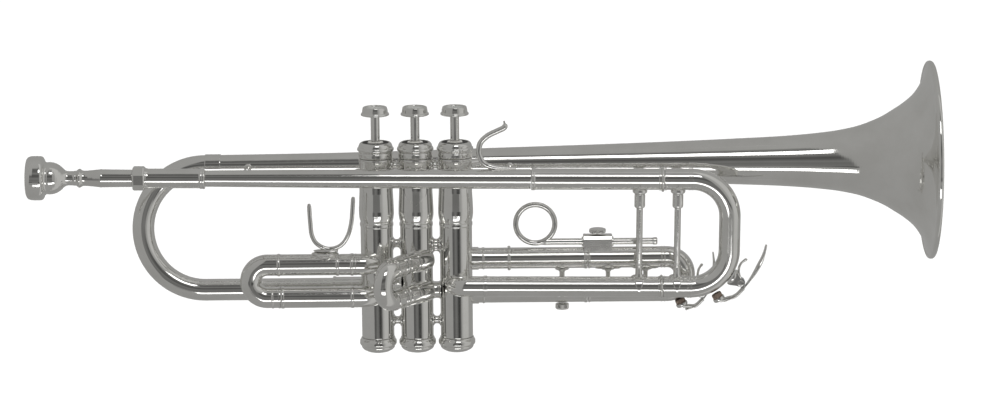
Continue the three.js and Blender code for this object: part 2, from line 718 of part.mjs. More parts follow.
function secondOuter(z) {
  const outer = pipe(onSecond(-4, z), onSecond(SECOND_SEAM, z), SECOND_RADIUS, SECOND_BORE);
  const [inside, mouth] = [onSecond(SECOND_SEAM - 2, z), onSecond(SECOND_SEAM, z)];
  const ferrule = pipe(inside, mouth, SECOND_RADIUS + 0.4, SECOND_BORE);
  return cut(outer.add(ferrule), casingKeepOut(2));
}

function secondSlide() {
  const radius = (SECOND_TOP_Z - SECOND_BOTTOM_Z) / 2;
  const centre = onSecond(SECOND_CROOK, SECOND_TOP_Z - radius);
  const side = secondWay.clone().multiplyScalar(radius);
  const crook = arc(centre, vec(0, 0, radius), side, 0, 180, 8);
  const ends = [SECOND_TOP_Z, SECOND_BOTTOM_Z].map((z) => onSecond(SECOND_SEAM + GAP, z));
  const along = (end, distance) => end.clone().addScaledVector(secondWay, distance);
  const legs = ends.map((end) => [along(end, -13), along(end, LEG_SEAT + 1)]);
  return slideBody([ends[0], ...crook, ends[1]], legs, SECOND_RADIUS, SECOND_INNER_RADIUS);
}

add('second_slide_outer_upper', secondOuter(SECOND_TOP_Z));
add('second_slide_outer_lower', secondOuter(SECOND_BOTTOM_Z));
add('second_slide', secondSlide());

// ---- third valve slide -----------------------------------------------------------------------
const onThird = (x, z) => vec(x, THIRD_Y, z);

function thirdOuter(z, bead) {
  const bore = aroundFlats(SLIDE_BORE, ROUND_SIDES);
  const start = VALVE_PITCH + 4;
  const outline = [[bore, start], [7.1, start], [7.1, 38.2], [SLIDE_RADIUS, 38.6]];
  if (bead) outline.push([SLIDE_RADIUS, 56], [7.5, 56.4], [7.5, 57.8], [SLIDE_RADIUS, 58.2]);
  outline.push([SLIDE_RADIUS, THIRD_SEAM - 2.4], [6.95, THIRD_SEAM - 2]);
  outline.push([6.95, THIRD_SEAM], [bore, THIRD_SEAM]);
  return cut(turned(outline, ROUND_SIDES, X_AXIS, onThird(0, z)), casingKeepOut(3));
}

function thirdSlide() {
  const radius = (THIRD_TOP_Z - THIRD_BOTTOM_Z) / 2;
  const centre = onThird(THIRD_CROOK_X, THIRD_TOP_Z - radius);
  const crook = arc(centre, vec(0, 0, radius), vec(radius, 0, 0), 0, 180, 8);
  const ends = [THIRD_TOP_Z, THIRD_BOTTOM_Z].map((z) => onThird(THIRD_SEAM + GAP, z));
  const legs = ends.map((end) => [end.clone().sub(vec(60, 0, 0)), end.clone().add(vec(LEG_SEAT + 1, 0, 0))]);
  const braces = [118.4, 141.6].map((x) => {
    const reach = SLIDE_RADIUS - WALL / 2;
    return bar(onThird(x, THIRD_TOP_Z - reach), onThird(x, THIRD_BOTTOM_Z + reach), 2.2, 8);
  });
  return slideBody([ends[0], ...crook, ends[1]], legs, SLIDE_RADIUS, INNER_RADIUS).add(join(...braces));
}

function thirdBrace() {
  const x = 89.9;
  const low = THIRD_BOTTOM_Z + SLIDE_RADIUS - 0.8;
  const high = THIRD_TOP_Z - SLIDE_RADIUS + 0.8;
  const body = turned([
    [0, low],
    [4.4, low],
    [2.4, low + 2.6],
    [2.4, high - 2.6],
    [4.4, high],
    [0, high],
  ], 10, vec(0, 0, 1), onThird(x, 0));
  const tubes = [THIRD_TOP_Z, THIRD_BOTTOM_Z].map((z) => {
    return bar(onThird(x - 8, z), onThird(x + 8, z), aroundFlats(SLIDE_RADIUS + GAP, ROUND_SIDES));
  });
  return cut(body, ...tubes);
}

const ROD_Z = -46.4;
const CLAMP = { from: 103, to: 121, low: -52.6, high: -42, depth: 9.4, hole: 2.15 };
const RING = { x: 73.5, z: -35, radius: 12.1, wire: 1.65 };
const CLAMP_SCREW_X = 112;

function ringClamp() {
  const width = CLAMP.to - CLAMP.from;
  const box = new THREE.BoxGeometry(width, CLAMP.depth, CLAMP.high - CLAMP.low);
  box.translate(CLAMP.from + width / 2, THIRD_Y, (CLAMP.high + CLAMP.low) / 2);
  const ends = (z) => [onThird(CLAMP.from - 1, z), onThird(CLAMP.to + 1, z)];
  const rodHole = roomFor(...ends(ROD_Z), CLAMP.hole);
  const screwHole = bar(onThird(CLAMP_SCREW_X, ROD_Z), onThird(CLAMP_SCREW_X, CLAMP.high + 1), 1.85, 10);
  const tube = roomFor(...ends(THIRD_TOP_Z), 6.95 + GAP);
  return cut(solid(box), rodHole, screwHole, tube);
}

function clampScrew() {
  return turned([
    [0, ROD_Z + CLAMP.hole + 0.2],
    [1.5, ROD_Z + CLAMP.hole + 0.2],
    [1.5, CLAMP.high + 0.6],
    [4.6, CLAMP.high + 0.6],
    [5.2, CLAMP.high + 1.2],
    [5.2, CLAMP.high + 3.4],
    [4.6, CLAMP.high + 4],
    [0, CLAMP.high + 4],
  ], 12, vec(0, 0, 1), onThird(CLAMP_SCREW_X, 0));
}

// The finger ring with the rod that slides in the clamp.
function fingerRing() {
  const loop = new THREE.TorusGeometry(RING.radius, RING.wire, WIRE_SIDES, 20);
  loop.rotateX(Math.PI / 2);
  loop.translate(RING.x, THIRD_Y, RING.z);
  const rod = bar(onThird(79.8, ROD_Z), onThird(149.6, ROD_Z), 1.75, 10);
  const collar = bar(onThird(146.6, ROD_Z), onThird(149.6, ROD_Z), 2.5, 10);
  return join(solid(loop), rod, collar);
}

function lyreScrew() {
  const top = THIRD_BOTTOM_Z - SLIDE_RADIUS - GAP;
  return turned([
    [0, top],
    [2.2, top],
    [2.2, top - 1.4],
    [4.2, top - 1.8],
    [4.2, top - 5],
    [3.6, top - 5.6],
    [0, top - 5.6],
  ], 12, vec(0, 0, 1), onThird(89.9, 0));
}

add('third_slide_outer_upper', thirdOuter(THIRD_TOP_Z, true));
add('third_slide_outer_lower', thirdOuter(THIRD_BOTTOM_Z, false));
add('third_slide_outer_brace', thirdBrace());
add('third_slide', thirdSlide());
add('ring_clamp', ringClamp());
add('ring_clamp_screw', clampScrew());
add('third_slide_finger_ring', fingerRing());
add('lyre_screw', lyreScrew());

// ---- water keys ------------------------------------------------------------------------------
const PIN_RADIUS = 0.9;
const EAR_OFFSET = 3.6; // from the middle of the key to the middle of a saddle ear

// Each key sits on the outside of a bend: centre and bend are [x, z] and centreline radius.
const MAIN_KEY = {
  name: 'main_water_key',
  y: LEAD_Y + MAIN_SHIFT_Y,
  centre: [169.3, -49.2],
  bend: MAIN_BEND_RADIUS,
  pivot: [199.1, -68.7],
  blade: [
    [215.1, -45.6], [213.1, -53], [210.3, -59], [205.9, -66.4],
    [201.2, -72.6], [196, -77.6], [189.1, -80.6],
  ],
  cork: [184.7, -76.6],
};
const THIRD_KEY = {
  name: 'third_water_key',
  y: THIRD_Y,
  centre: [THIRD_CROOK_X, (THIRD_TOP_Z + THIRD_BOTTOM_Z) / 2],
  bend: (THIRD_TOP_Z - THIRD_BOTTOM_Z) / 2,
  pivot: [176.5, -79.5],
  blade: [
    [183.5, -54], [184.2, -62], [183.4, -70], [181.2, -77],
    [177.4, -83.4], [172.4, -87.8], [166.4, -90],
  ],
  cork: [163.6, -85.2],
};

function waterKey(key) {
  const at = ([x, z], y = key.y) => vec(x, y, z);
  const centre = at(key.centre);
  const pivot = at(key.pivot);
  const pressed = at(key.cork).sub(centre).normalize(); // the direction the cork faces, away from the bend
  const outward = pivot.clone().sub(centre).normalize();
  const across = vec(0, 1, 0);
  const surface = key.bend + SLIDE_RADIUS;

  const keepOut = new THREE.TorusGeometry(key.bend, aroundFlats(SLIDE_RADIUS + GAP, 10), 10, 24);
  keepOut.rotateX(Math.PI / 2);
  keepOut.translate(centre.x, centre.y, centre.z);
  const seat = centre.clone().addScaledVector(outward, surface - 2);
  const ears = [-1, 1].map((sign) => {
    const shift = vec(0, sign * EAR_OFFSET, 0);
    const side = outward.clone().cross(across);
    const corners = [
      seat.clone().addScaledVector(side, 5),
      pivot.clone().addScaledVector(side, 1.9).addScaledVector(outward, 0.6),
      pivot.clone().addScaledVector(outward, 2),
      pivot.clone().addScaledVector(side, -1.9).addScaledVector(outward, 0.6),
      seat.clone().addScaledVector(side, -5),
    ];
    return plate(corners.map((corner) => [corner.x, corner.z]), key.y + shift.y, 1.3);
  });
  const base = bar(seat, centre.clone().addScaledVector(outward, surface + 1.3), 5.4, 10);
  const atPivot = (offset) => pivot.clone().add(vec(0, offset, 0));
  const pin = bar(atPivot(-5.4), atPivot(5.4), PIN_RADIUS, WIRE_SIDES);
  const saddle = join(base, ...ears).subtract(solid(keepOut)).add(pin);

  const blade = plate(strip(key.blade, 1.3), key.y, 5.2);
  const barrel = bar(atPivot(-2.5), atPivot(2.5), 2.2, 10);
  const towards = key.blade[4];
  const web = plate(strip([[pivot.x, pivot.z], towards], 2.4), key.y, 4);
  const bore = bar(atPivot(-4), atPivot(4), PIN_RADIUS + GAP + 0.1, WIRE_SIDES);
  const cupLow = centre.clone().addScaledVector(pressed, surface + 3.1);
  const cupHigh = centre.clone().addScaledVector(pressed, surface + 5.6);
  const arm = plate(strip([key.blade[5], [cupHigh.x, cupHigh.z]], 2), key.y, 4.4);
  const lever = join(blade, barrel, web, arm, bar(cupLow, cupHigh, 3.7, 12)).subtract(bore);

  const corkLow = centre.clone().addScaledVector(pressed, surface + GAP + 0.9);
  const cork = bar(corkLow, cupLow.clone().addScaledVector(pressed, -GAP), 3.1, 12);

  add(`${key.name}_saddle`, saddle);
  add(`${key.name}_lever`, lever);
  add(`${key.name}_cork`, cork, CORK);
}

waterKey(MAIN_KEY);
waterKey(THIRD_KEY);

// ---- hooks and braces ------------------------------------------------------------------------
function leadKeepOut(from, to, radius) {
  const geometry = geometryOf(bar(vec(from, 0, 0), vec(to, 0, 0), aroundFlats(radius + GAP, ROUND_SIDES)));
  geometry.applyMatrix4(leadFrame.matrixWorld);
  return solid(geometry);
}

function pinkyHook() {
  const wire = [[54.7, 34.1], [55, 30.4], [50.6, 28], [44.6, 25], [40.6, 21.2], [39.2, 17.2], [39.8, 12.2]];
  wire.push([42.4, 7.8], [47, 5.8], [54, 5.3], [62, 5.1]);
  const route = smooth(wire.map(([x, z]) => vec(x, LEAD_Y, z)), 15);
  return bent(route, 1.85, WIRE_SIDES).subtract(leadKeepOut(30, 70, 6.15));
}

// A straight rod brace with a round flange at each end.
function rodBrace(from, to, radius, flange) {
  const length = from.distanceTo(to);
  return turned([
    [0, 0],
    [flange, 0],
    [radius, 3.4],
    [radius, length - 3.4],
    [flange, length],
    [0, length],
  ], 10, to.clone().sub(from).normalize(), from);
}

const bellKeepOut = (from, to, radius) => {
  const outer = aroundFlats(radius + GAP, ROUND_SIDES);
  return bar(vec(from, BELL_Y, 0), vec(to, BELL_Y, 0), outer);
};

function bellLeadBrace(x, leadRadius, bellRadius) {
  const leadZ = LEAD_Z - x * Math.tan(LEAD_SLOPE);
  const leadSide = vec(x, LEAD_Y + leadRadius - 0.8, leadZ);
  const bellSide = vec(x, BELL_Y - bellRadius + 0.8, 0);
  const body = rodBrace(leadSide, bellSide, 2.2, 4.4);
  return cut(body, leadKeepOut(x - 8, x + 8, leadRadius), bellKeepOut(x - 8, x + 8, bellRadius));
}

function leadValveBrace() {
  const casingSide = vec(0, -CASING_UPPER_RADIUS + 0.8, -2);
  const body = bar(vec(0, LEAD_Y + 5.2, LEAD_Z), casingSide, 3.6);
  const casingClear = roomFor(vec(0, 0, -15), vec(0, 0, 10), CASING_BULGE_RADIUS, VALVE_SIDES);
  return cut(body, leadKeepOut(-9, 9, 6.05), casingClear);
}

function bellValveBrace() {
  const away = vec(0.8, 0.6, 0);
  const from = vec(VALVE_PITCH, 0, 3.2).addScaledVector(away, CASING_UPPER_RADIUS - 1);
  const to = vec(41, 13.6, 3.2);
  const [low, high] = [-5, 9].map((z) => vec(VALVE_PITCH, 0, z));
  const valveClear = roomFor(low, high, CASING_BULGE_RADIUS, VALVE_SIDES);
  return cut(bar(from, to, 2.3, 10), valveClear, bellKeepOut(25, 60, 9.95));
}

add('pinky_hook', pinkyHook());
add('bell_lead_brace_rear', bellLeadBrace(-104, 5.3, 7.05));
add('bell_lead_brace_front', bellLeadBrace(58, 6.15, 10.1));
add('lead_valve_brace', leadValveBrace());
add('bell_valve_brace', bellValveBrace());

// ---- mouthpiece ------------------------------------------------------------------------------
function mouthpiece() {
  const face = MOUTHPIECE_FACE;
  const inReceiver = RECEIVER_START - face;
  const end = MOUTHPIECE_LENGTH;
  const outer = [[9.4, 0], [11.6, 0.1], [13.2, 1.4], [13.5, 3.6], [13.4, 10.8], [10.4, 13.2], [10.2, 18.5]];
  outer.push([8.2, 22.5], [4.5, 28.5], [5.75, 33.4], [4.7, 37], [5.7, 45.4]);
  outer.push([shankRadius(RECEIVER_START - 0.2), inReceiver - 0.2], [shankRadius(face + end), end]);
  const inner = [[4.1, end], [1.9, 27], [1.9, 20], [6.4, 12.6], [8, 7.6], [8.5, 1.4]];
  const outline = [...outer, ...inner].map(([radius, x]) => [radius, face + x]);
  return turned(outline, MOUTHPIECE_SIDES, X_AXIS);
}

addToLead('mouthpiece', mouthpiece());

export default trumpet;
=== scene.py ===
"""A silver B-flat trumpet on a pale ground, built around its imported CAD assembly.

Shapes are given in millimetres in the row frame and made in metres: +X from the mouthpiece to
the bell, +Z up along the valves, +Y to the player's left.
"""

import math

import bpy
from mathutils import Matrix, Quaternion, Vector


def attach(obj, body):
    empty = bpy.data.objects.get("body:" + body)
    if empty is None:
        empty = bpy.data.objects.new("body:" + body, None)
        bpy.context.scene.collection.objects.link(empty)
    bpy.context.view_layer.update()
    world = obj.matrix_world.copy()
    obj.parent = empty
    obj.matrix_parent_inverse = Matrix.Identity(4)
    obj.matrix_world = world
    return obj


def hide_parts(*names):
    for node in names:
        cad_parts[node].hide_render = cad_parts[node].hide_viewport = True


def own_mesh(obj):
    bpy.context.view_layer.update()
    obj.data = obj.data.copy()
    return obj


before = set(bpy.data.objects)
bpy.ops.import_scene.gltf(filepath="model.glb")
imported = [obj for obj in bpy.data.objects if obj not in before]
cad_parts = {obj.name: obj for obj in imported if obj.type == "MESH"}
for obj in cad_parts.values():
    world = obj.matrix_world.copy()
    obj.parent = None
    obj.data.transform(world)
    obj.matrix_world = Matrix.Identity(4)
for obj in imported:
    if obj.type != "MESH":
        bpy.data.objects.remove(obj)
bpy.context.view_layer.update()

MM = 0.001
X_AXIS = Vector((1, 0, 0))
Y_AXIS = Vector((0, 1, 0))
Z_AXIS = Vector((0, 0, 1))

# ---- dimensions, in millimetres ---------------------------------------------------------------
VALVE_PITCH = 24.4
CASING_RADIUS = 10
CASING_SEAT = CASING_RADIUS - 0.4  # how deep a tube's end is let into a casing
CASING_UPPER_RADIUS = 10.3
CASING_BULGE_RADIUS = 10.8
CASING_TOP = 8.3
CASING_BOTTOM = -104.2
CASING_STEP = -31
BORE_RADIUS = 8.75
NECK_RADIUS = 9.55
CAP_RADIUS = 11.4
CAP_TOP = 18.1
CAP_HOLE_RADIUS = 3.3
CAP_BOTTOM = -114.2
GUIDE_TOP = -23
BARREL_TOP = 15.4
STEM_RADIUS = 2.7
BUTTON_BOTTOM = 35
BUTTON_RADIUS = 8.8
BUTTON_TOP = 39.4

BELL_Y = 22
BELL_START = -129.1
BELL_RIM = 320.7
BELL_WALL = 1
BOW_RADIUS = 6.75
BOW_LEG_Z = -75.6
BOW_LEG_Y = 8
BOW_LEG_END = -32.4
BOW_FERRULE_START = -51
BOW_FERRULE_RADIUS = 7.35

LEAD_Y = -20
LEAD_Z = -1.2
LEAD_SLOPE = math.radians(0.6)
RECEIVER_START = -172
RECEIVER_END = -128
LEAD_END = 70.7

SLIDE_RADIUS = 6.55
SLIDE_BORE = 5.75
INNER_RADIUS = 5.4
INNER_BORE = 4.6
MAIN_OUTER_START = 71
MAIN_OUTER_END = 152.3
MAIN_BEND_RADIUS = 23.6
MAIN_BEND_X = 169.1
MAIN_DROP = 68.6
MAIN_SHIFT_Y = 6
MAIN_LOWER_RADIUS = 6.35
MAIN_FIXED_BRACE_X = 137.4
MAIN_MOVING_BRACE_X = 160.7

FIRST_Y = -12
FIRST_TOP_Z = -56
FIRST_BOTTOM_Z = -76.4
FIRST_CROOK_X = -91.8
FIRST_TOP_SEAM = -47
FIRST_BOTTOM_SEAM = -83.6
FIRST_KNUCKLE_X = -26
FIRST_KNUCKLE_TURN = 8

SECOND_START = Vector((4.6, -5.5, 0))
SECOND_ANGLE = math.radians(-125.3)
SECOND_TOP_Z = -54.5
SECOND_BOTTOM_Z = -74.5
SECOND_RADIUS = 6.1
SECOND_BORE = 5.35
SECOND_INNER_RADIUS = 5
SECOND_SEAM = 24
SECOND_CROOK = 32.3

THIRD_Y = 5
THIRD_TOP_Z = -56.5
THIRD_BOTTOM_Z = -78
THIRD_SEAM = 105.7
THIRD_CROOK_X = 155
THIRD_BRACE_X = 89.9
THIRD_SLIDE_BRACES = (118.4, 141.6)
THIRD_TUBE_END = 36
ROD_Z = -46.4
RING_X = 73.5
RING_Z = -35
RING_RADIUS = 12.1
RING_WIRE = 1.65
ROD_END = 146
CLAMP_LEFT = 103
CLAMP_RIGHT = 121
CLAMP_LOW = -52.6
CLAMP_HIGH = -42
CLAMP_DEPTH = 9.4
CLAMP_SCREW_X = 112

MOUTHPIECE_FACE = -236.8
MOUTHPIECE_LENGTH = 88
GAP = 0.3
ROUND = 40  # sides of an ordinary round bar
TUBE = 56  # sides of a main tube
FINE = 72  # sides of a large turned piece


# ---- materials --------------------------------------------------------------------------------
class Nodes:
    """Small helpers over one material's or world's node tree."""

    def __init__(self, tree):
        self.tree = tree
        tree.nodes.clear()

    def add(self, kind, **settings):
        node = self.tree.nodes.new(kind)
        for name, value in settings.items():
            if hasattr(node, name):
                setattr(node, name, value)
            else:
                node.inputs[name.replace("_", " ")].default_value = value
        return node

    def link(self, source, target):
        self.tree.links.new(source, target)
        return target

    def math(self, operation, *terms):
        node = self.add("ShaderNodeMath", operation=operation)
        for socket, term in zip(node.inputs, terms):
            if isinstance(term, (int, float)):
                socket.default_value = term
            else:
                self.link(term, socket)
        return node.outputs[0]

    def noise(self, coordinates, scale, detail=3.0, roughness=0.5):
        node = self.add("ShaderNodeTexNoise", Scale=scale, Detail=detail, Roughness=roughness)
        self.link(coordinates, node.inputs["Vector"])
        return node.outputs["Fac"]

    def ramp(self, factor, *stops):
        node = self.add("ShaderNodeValToRGB")
        elements = node.color_ramp.elements
        while len(elements) < len(stops):
            elements.new(0.5)
        for element, (position, color) in zip(elements, stops):
            element.position = position
            element.color = (*color, 1)
        self.link(factor, node.inputs["Fac"])
        return node.outputs["Color"]

    def between(self, value, low, high, to_low=0.0, to_high=1.0, smooth=False):
        node = self.add("ShaderNodeMapRange", From_Min=low, From_Max=high, To_Min=to_low, To_Max=to_high)
        if smooth:
            node.interpolation_type = "SMOOTHSTEP"
        self.link(value, node.inputs["Value"])
        return node.outputs["Result"]

    def bump(self, height, distance, strength=1.0, normal=None):
        node = self.add("ShaderNodeBump", Distance=distance, Strength=strength)
        self.link(height, node.inputs["Height"])
        if normal is not None:
            self.link(normal, node.inputs["Normal"])
        return node.outputs["Normal"]


def new_material(name):
    material = bpy.data.materials.new(name)
    material.use_nodes = True
    nodes = Nodes(material.node_tree)
    shader = nodes.add("ShaderNodeBsdfPrincipled")
    output = nodes.add("ShaderNodeOutputMaterial")
    nodes.link(shader.outputs[0], output.inputs["Surface"])
    place = nodes.add("ShaderNodeTexCoord").outputs["Object"]
    return material, nodes, shader.inputs, place


def plated_metal(name, light, dark, low_gloss, high_gloss, wave=0.00006):
    """Polished metal: a faint cloud of tarnish, fine wiping marks and a slightly wavy surface."""
    material, nodes, shader, place = new_material(name)
    shader["Metallic"].default_value = 1.0
    cloud = nodes.noise(place, 38.0, 4.0, 0.6)
    nodes.link(nodes.ramp(cloud, (0.35, dark), (0.65, light)), shader["Base Color"])
    wiping = nodes.noise(place, 260.0, 2.0)
    rough = nodes.between(nodes.math("MULTIPLY", cloud, wiping), 0.1, 0.45, high_gloss, low_gloss)
    nodes.link(rough, shader["Roughness"])
    wavy = nodes.bump(nodes.noise(place, 55.0, 2.0), wave)
    nodes.link(nodes.bump(nodes.noise(place, 340.0, 2.0), 0.000003, 0.5, wavy), shader["Normal"])
    return material


def cork_material():
    material, nodes, shader, place = new_material("cork_grain")
    grain = nodes.noise(place, 1100.0, 6.0, 0.7)
    colors = ((0.3, (0.06, 0.043, 0.033)), (0.5, (0.16, 0.12, 0.095)), (0.7, (0.3, 0.24, 0.19)))
    nodes.link(nodes.ramp(grain, *colors), shader["Base Color"])
    nodes.link(nodes.between(grain, 0.3, 0.7, 0.95, 0.7), shader["Roughness"])
    nodes.link(nodes.bump(grain, 0.0002), shader["Normal"])
    return material


def felt_material(name, dark, light, sheen):
    material, nodes, shader, place = new_material(name)
    fibre = nodes.noise(place, 2400.0, 8.0, 0.8)
    nodes.link(nodes.ramp(fibre, (0.3, dark), (0.7, light)), shader["Base Color"])
    shader["Roughness"].default_value = 1.0
    shader["Sheen Weight"].default_value = sheen
    nodes.link(nodes.bump(fibre, 0.0002), shader["Normal"])
    return material


def pearl_material():
    """The button inlays: a pearl-like disc, pale grey with soft bands."""
    material, nodes, shader, place = new_material("pearl_inlay")
    cloud = nodes.noise(place, 240.0, 5.0, 0.65)
    colors = ((0.3, (0.26, 0.27, 0.26)), (0.5, (0.36, 0.37, 0.35)), (0.7, (0.46, 0.45, 0.43)))
    nodes.link(nodes.ramp(cloud, *colors), shader["Base Color"])
    nodes.link(nodes.between(cloud, 0.3, 0.7, 0.16, 0.3), shader["Roughness"])
    shader["Coat Weight"].default_value = 0.8
    shader["Coat Roughness"].default_value = 0.05
    return material


SILVER = plated_metal("silver_plate", (0.86, 0.855, 0.835), (0.8, 0.795, 0.77), 0.05, 0.1)
NICKEL = plated_metal("lapped_nickel", (0.7, 0.68, 0.63), (0.6, 0.58, 0.54), 0.16, 0.28)
STEEL = plated_metal("spring_steel", (0.6, 0.61, 0.62), (0.48, 0.49, 0.5), 0.2, 0.34)
CORK = cork_material()
FELT = felt_material("pressed_felt", (0.6, 0.58, 0.54), (0.9, 0.89, 0.86), 0.4)
DARK_FELT = felt_material("black_felt", (0.012, 0.012, 0.012), (0.05, 0.048, 0.045), 0.05)
PEARL = pearl_material()


# ---- shapes -----------------------------------------------------------------------------------
def six_volumes(points, faces):
    total = 0.0
    for face in faces:
        a = points[face[0]]
        for i in range(1, len(face) - 1):
            total += a.dot(points[face[i]].cross(points[face[i + 1]]))
    return total


class Shape:
    """One piece as closed shells of points in millimetres."""

    def __init__(self):
        self.points = []
        self.faces = []

    def shell(self, rings, loop=False, strips=False):
        """Closes a skin over rings of points, with flat or curved ends unless the rings join up."""
        count = len(rings[0])
        points = [point for ring in rings for point in ring]
        faces = []
        for a in range(len(rings) if loop else len(rings) - 1):
            b = (a + 1) % len(rings)
            for j in range(count):
                k = (j + 1) % count
                faces.append((a * count + j, a * count + k, b * count + k, b * count + j))
        if not loop:
            last = (len(rings) - 1) * count
            faces.append(tuple(reversed(range(count))))
            faces += end_strips(last, count) if strips else [tuple(last + j for j in range(count))]
        if six_volumes(points, faces) < 0:
            faces = [tuple(reversed(face)) for face in faces]
        base = len(self.points)
        self.points += points
        self.faces += [tuple(base + i for i in face) for face in faces]
        return self

    def join(self, *others):
        for other in others:
            base = len(self.points)
            self.points += other.points
            self.faces += [tuple(base + i for i in face) for face in other.faces]
        return self

    def moved(self, matrix):
        self.points = [matrix @ point for point in self.points]
        return self


def end_strips(base, count):
    """An end that keeps to a curved wall: strips across the ring, between mirrored pairs of points."""
    half = count // 2
    strips = [(base, base + 1, base + count - 1)]
    for j in range(1, half - 1):
        strips.append((base + j, base + j + 1, base + count - j - 1, base + count - j))
    strips.append((base + half - 1, base + half, base + half + 1))
    return strips


def rounded(outline, fillet, loop):
    """The outline with each corner turned into a small curve."""
    result = []
    count = len(outline)
    for i, pair in enumerate(outline):
        point = Vector(pair)
        if not loop and i in (0, count - 1):
            result.append(point)
            continue
        back = Vector(outline[i - 1]) - point
        ahead = Vector(outline[(i + 1) % count]) - point
        if back.length < 1e-6 or ahead.length < 1e-6:
            continue
        cut = min(fillet, 0.42 * back.length, 0.42 * ahead.length)
        if cut < 0.02 or back.angle(ahead) > math.radians(172):
            result.append(point)
            continue
        start = point + back.normalized() * cut
        end = point + ahead.normalized() * cut
        for step in range(4):
            t = step / 3
            result.append(start * (1 - t) ** 2 + point * (2 * t * (1 - t)) + end * t * t)
    return result


def held(points, reach, longest):
    """The points with two more near the ends of each long stretch, so that it shades as straight."""
    result = [points[0]]
    for before, after in zip(points, points[1:]):
        length = (after - before).length
        if length > longest:
            step = (after - before) * (reach / length)
            result += [before + step, after - step]
        result.append(after)
    return result


def turned(outline, direction=Z_AXIS, at=(0, 0, 0), sides=FINE, fillet=0.25, ribs=None):
    """A turned piece from [radius, height] pairs. ribs is (count, depth, least radius)."""
    at = Vector(at)
    loop = outline[0][0] > 0
    profile = [pair for pair in outline if pair[0] > 0]
    if not loop:
        profile = rounded(outline, fillet, False)
        profile = [point for point in held(profile, 0.15, 0.9) if point[0] > 0.001]
    else:
        profile = rounded(profile, fillet, True)
        profile = held(profile + profile[:1], 0.15, 0.9)[:-1]
    turn = Vector(direction).normalized().to_track_quat("Z", "Y")
    rings = []
    for radius, height in profile:
        ring = []
        for j in range(sides):
            angle = 2 * math.pi * j / sides
            reach = radius
            if ribs and radius >= ribs[2]:
                reach -= ribs[1] * (0.5 - 0.5 * math.cos(ribs[0] * angle))
            ring.append(at + turn @ Vector((reach * math.cos(angle), reach * math.sin(angle), height)))
        rings.append(ring)
    return Shape().shell(rings, loop)


def above(level, *pairs):
    """Outline pairs whose heights are measured from a level."""
    return [[radius, level + height] for radius, height in pairs]


def mirrored(half, length):
    """An outline from the pairs of its first half."""
    return half + [[radius, length - height] for radius, height in reversed(half) if height < length / 2]


def at_each(value, index):
    return value[index] if isinstance(value, (list, tuple)) else value


def power(value, exponent):
    return math.copysign(abs(value) ** exponent, value)


def frames_along(path, across):
    """A tangent, side and up vector at each point of a path."""
    frames = []
    side = None
    for i in range(len(path)):
        tangent = (path[min(i + 1, len(path) - 1)] - path[max(i - 1, 0)]).normalized()
        if across is not None:
            side = (across - tangent * across.dot(tangent)).normalized()
        elif side is None:
            side = tangent.orthogonal().normalized()
        else:
            side = (side - tangent * side.dot(tangent)).normalized()
        frames.append((tangent, side, tangent.cross(side)))
    return frames


def onto_casing(point, direction, meet):
    """Where a line from point along direction comes to a casing (x, y, radius), or passes it closest."""
    x, y, radius = meet
    flat = Vector((direction.x, direction.y))
    start = Vector((point.x - x, point.y - y))
    a = flat.dot(flat)
    b = start.dot(flat)
    c = start.dot(start) - radius * radius
    inside = max(0, b * b - a * c)
    return point + direction * ((-b - math.sqrt(inside)) / a)


def outside_casing(point, casing):
    """Moves a point that lies inside an upright casing straight out into its wall."""
    x, y, radius = casing
    out = Vector((point.x - x, point.y - y))
    if out.length < radius:
        out *= radius / max(out.length, 0.01)
    return Vector((x + out.x, y + out.y, point.z))


def sweep(path, radius, thick=None, bore=None, sides=ROUND, across=None, square=2, meet=None):
    """A round, oval or squarish bar or pipe along a path of points."""
    if not isinstance(radius, (list, tuple)):
        path = held(path, 0.3, 2.5)
    frames = frames_along(path, across)

    def ring(i, wide, high):
        tangent, side, up = frames[i]
        points = []
        for j in range(sides):
            angle = 2 * math.pi * j / sides
            u = power(math.cos(angle), 2 / square) * wide
            v = power(math.sin(angle), 2 / square) * high
            point = path[i] + side * u + up * v
            if meet and i == len(path) - 1:
                point = onto_casing(point, tangent, meet)
            elif meet:
                point = outside_casing(point, meet)
            points.append(point)
        return points

    count = len(path)
    outer = []
    for i in range(count):
        wide = at_each(radius, i)
        outer.append(ring(i, wide, wide if thick is None else at_each(thick, i)))
    if bore is None:
        return Shape().shell(outer, strips=meet is not None)
    inner = [ring(i, bore, bore) for i in reversed(range(count))]
    return Shape().shell(outer + inner, True)


def tube(path, radius, bore, meet=None):
    return sweep(path, radius, bore=bore, sides=TUBE, meet=meet)


def bar(start, end, radius, sides=ROUND, fillet=0.2):
    start, end = Vector(start), Vector(end)
    length = (end - start).length
    return turned([[0, 0], [radius, 0], [radius, length], [0, length]], end - start, start, sides, fillet)


def pipe(start, end, radius, bore, sides=ROUND, fillet=0.2):
    start, end = Vector(start), Vector(end)
    length = (end - start).length
    outline = [[bore, 0], [radius, 0], [radius, length], [bore, length]]
    return turned(outline, end - start, start, sides, fillet)


def arc(centre, start, side, low, high, steps):
    """Points about a centre, from one radius vector towards another, between two angles."""
    points = []
    for i in range(steps + 1):
        angle = math.radians(low + (high - low) * i / steps)
        points.append(Vector(centre) + Vector(start) * math.cos(angle) + Vector(side) * math.sin(angle))
    return points


def helix(start, end, first, second, radius, turns, steps):
    """Points of a coil from start to end, from the first direction round to the second."""
    points = []
    for i in range(turns * steps + 1):
        angle = 2 * math.pi * i / steps
        around = first * (radius * math.cos(angle)) + second * (radius * math.sin(angle))
        points.append(start.lerp(end, i / (turns * steps)) + around)
    return points


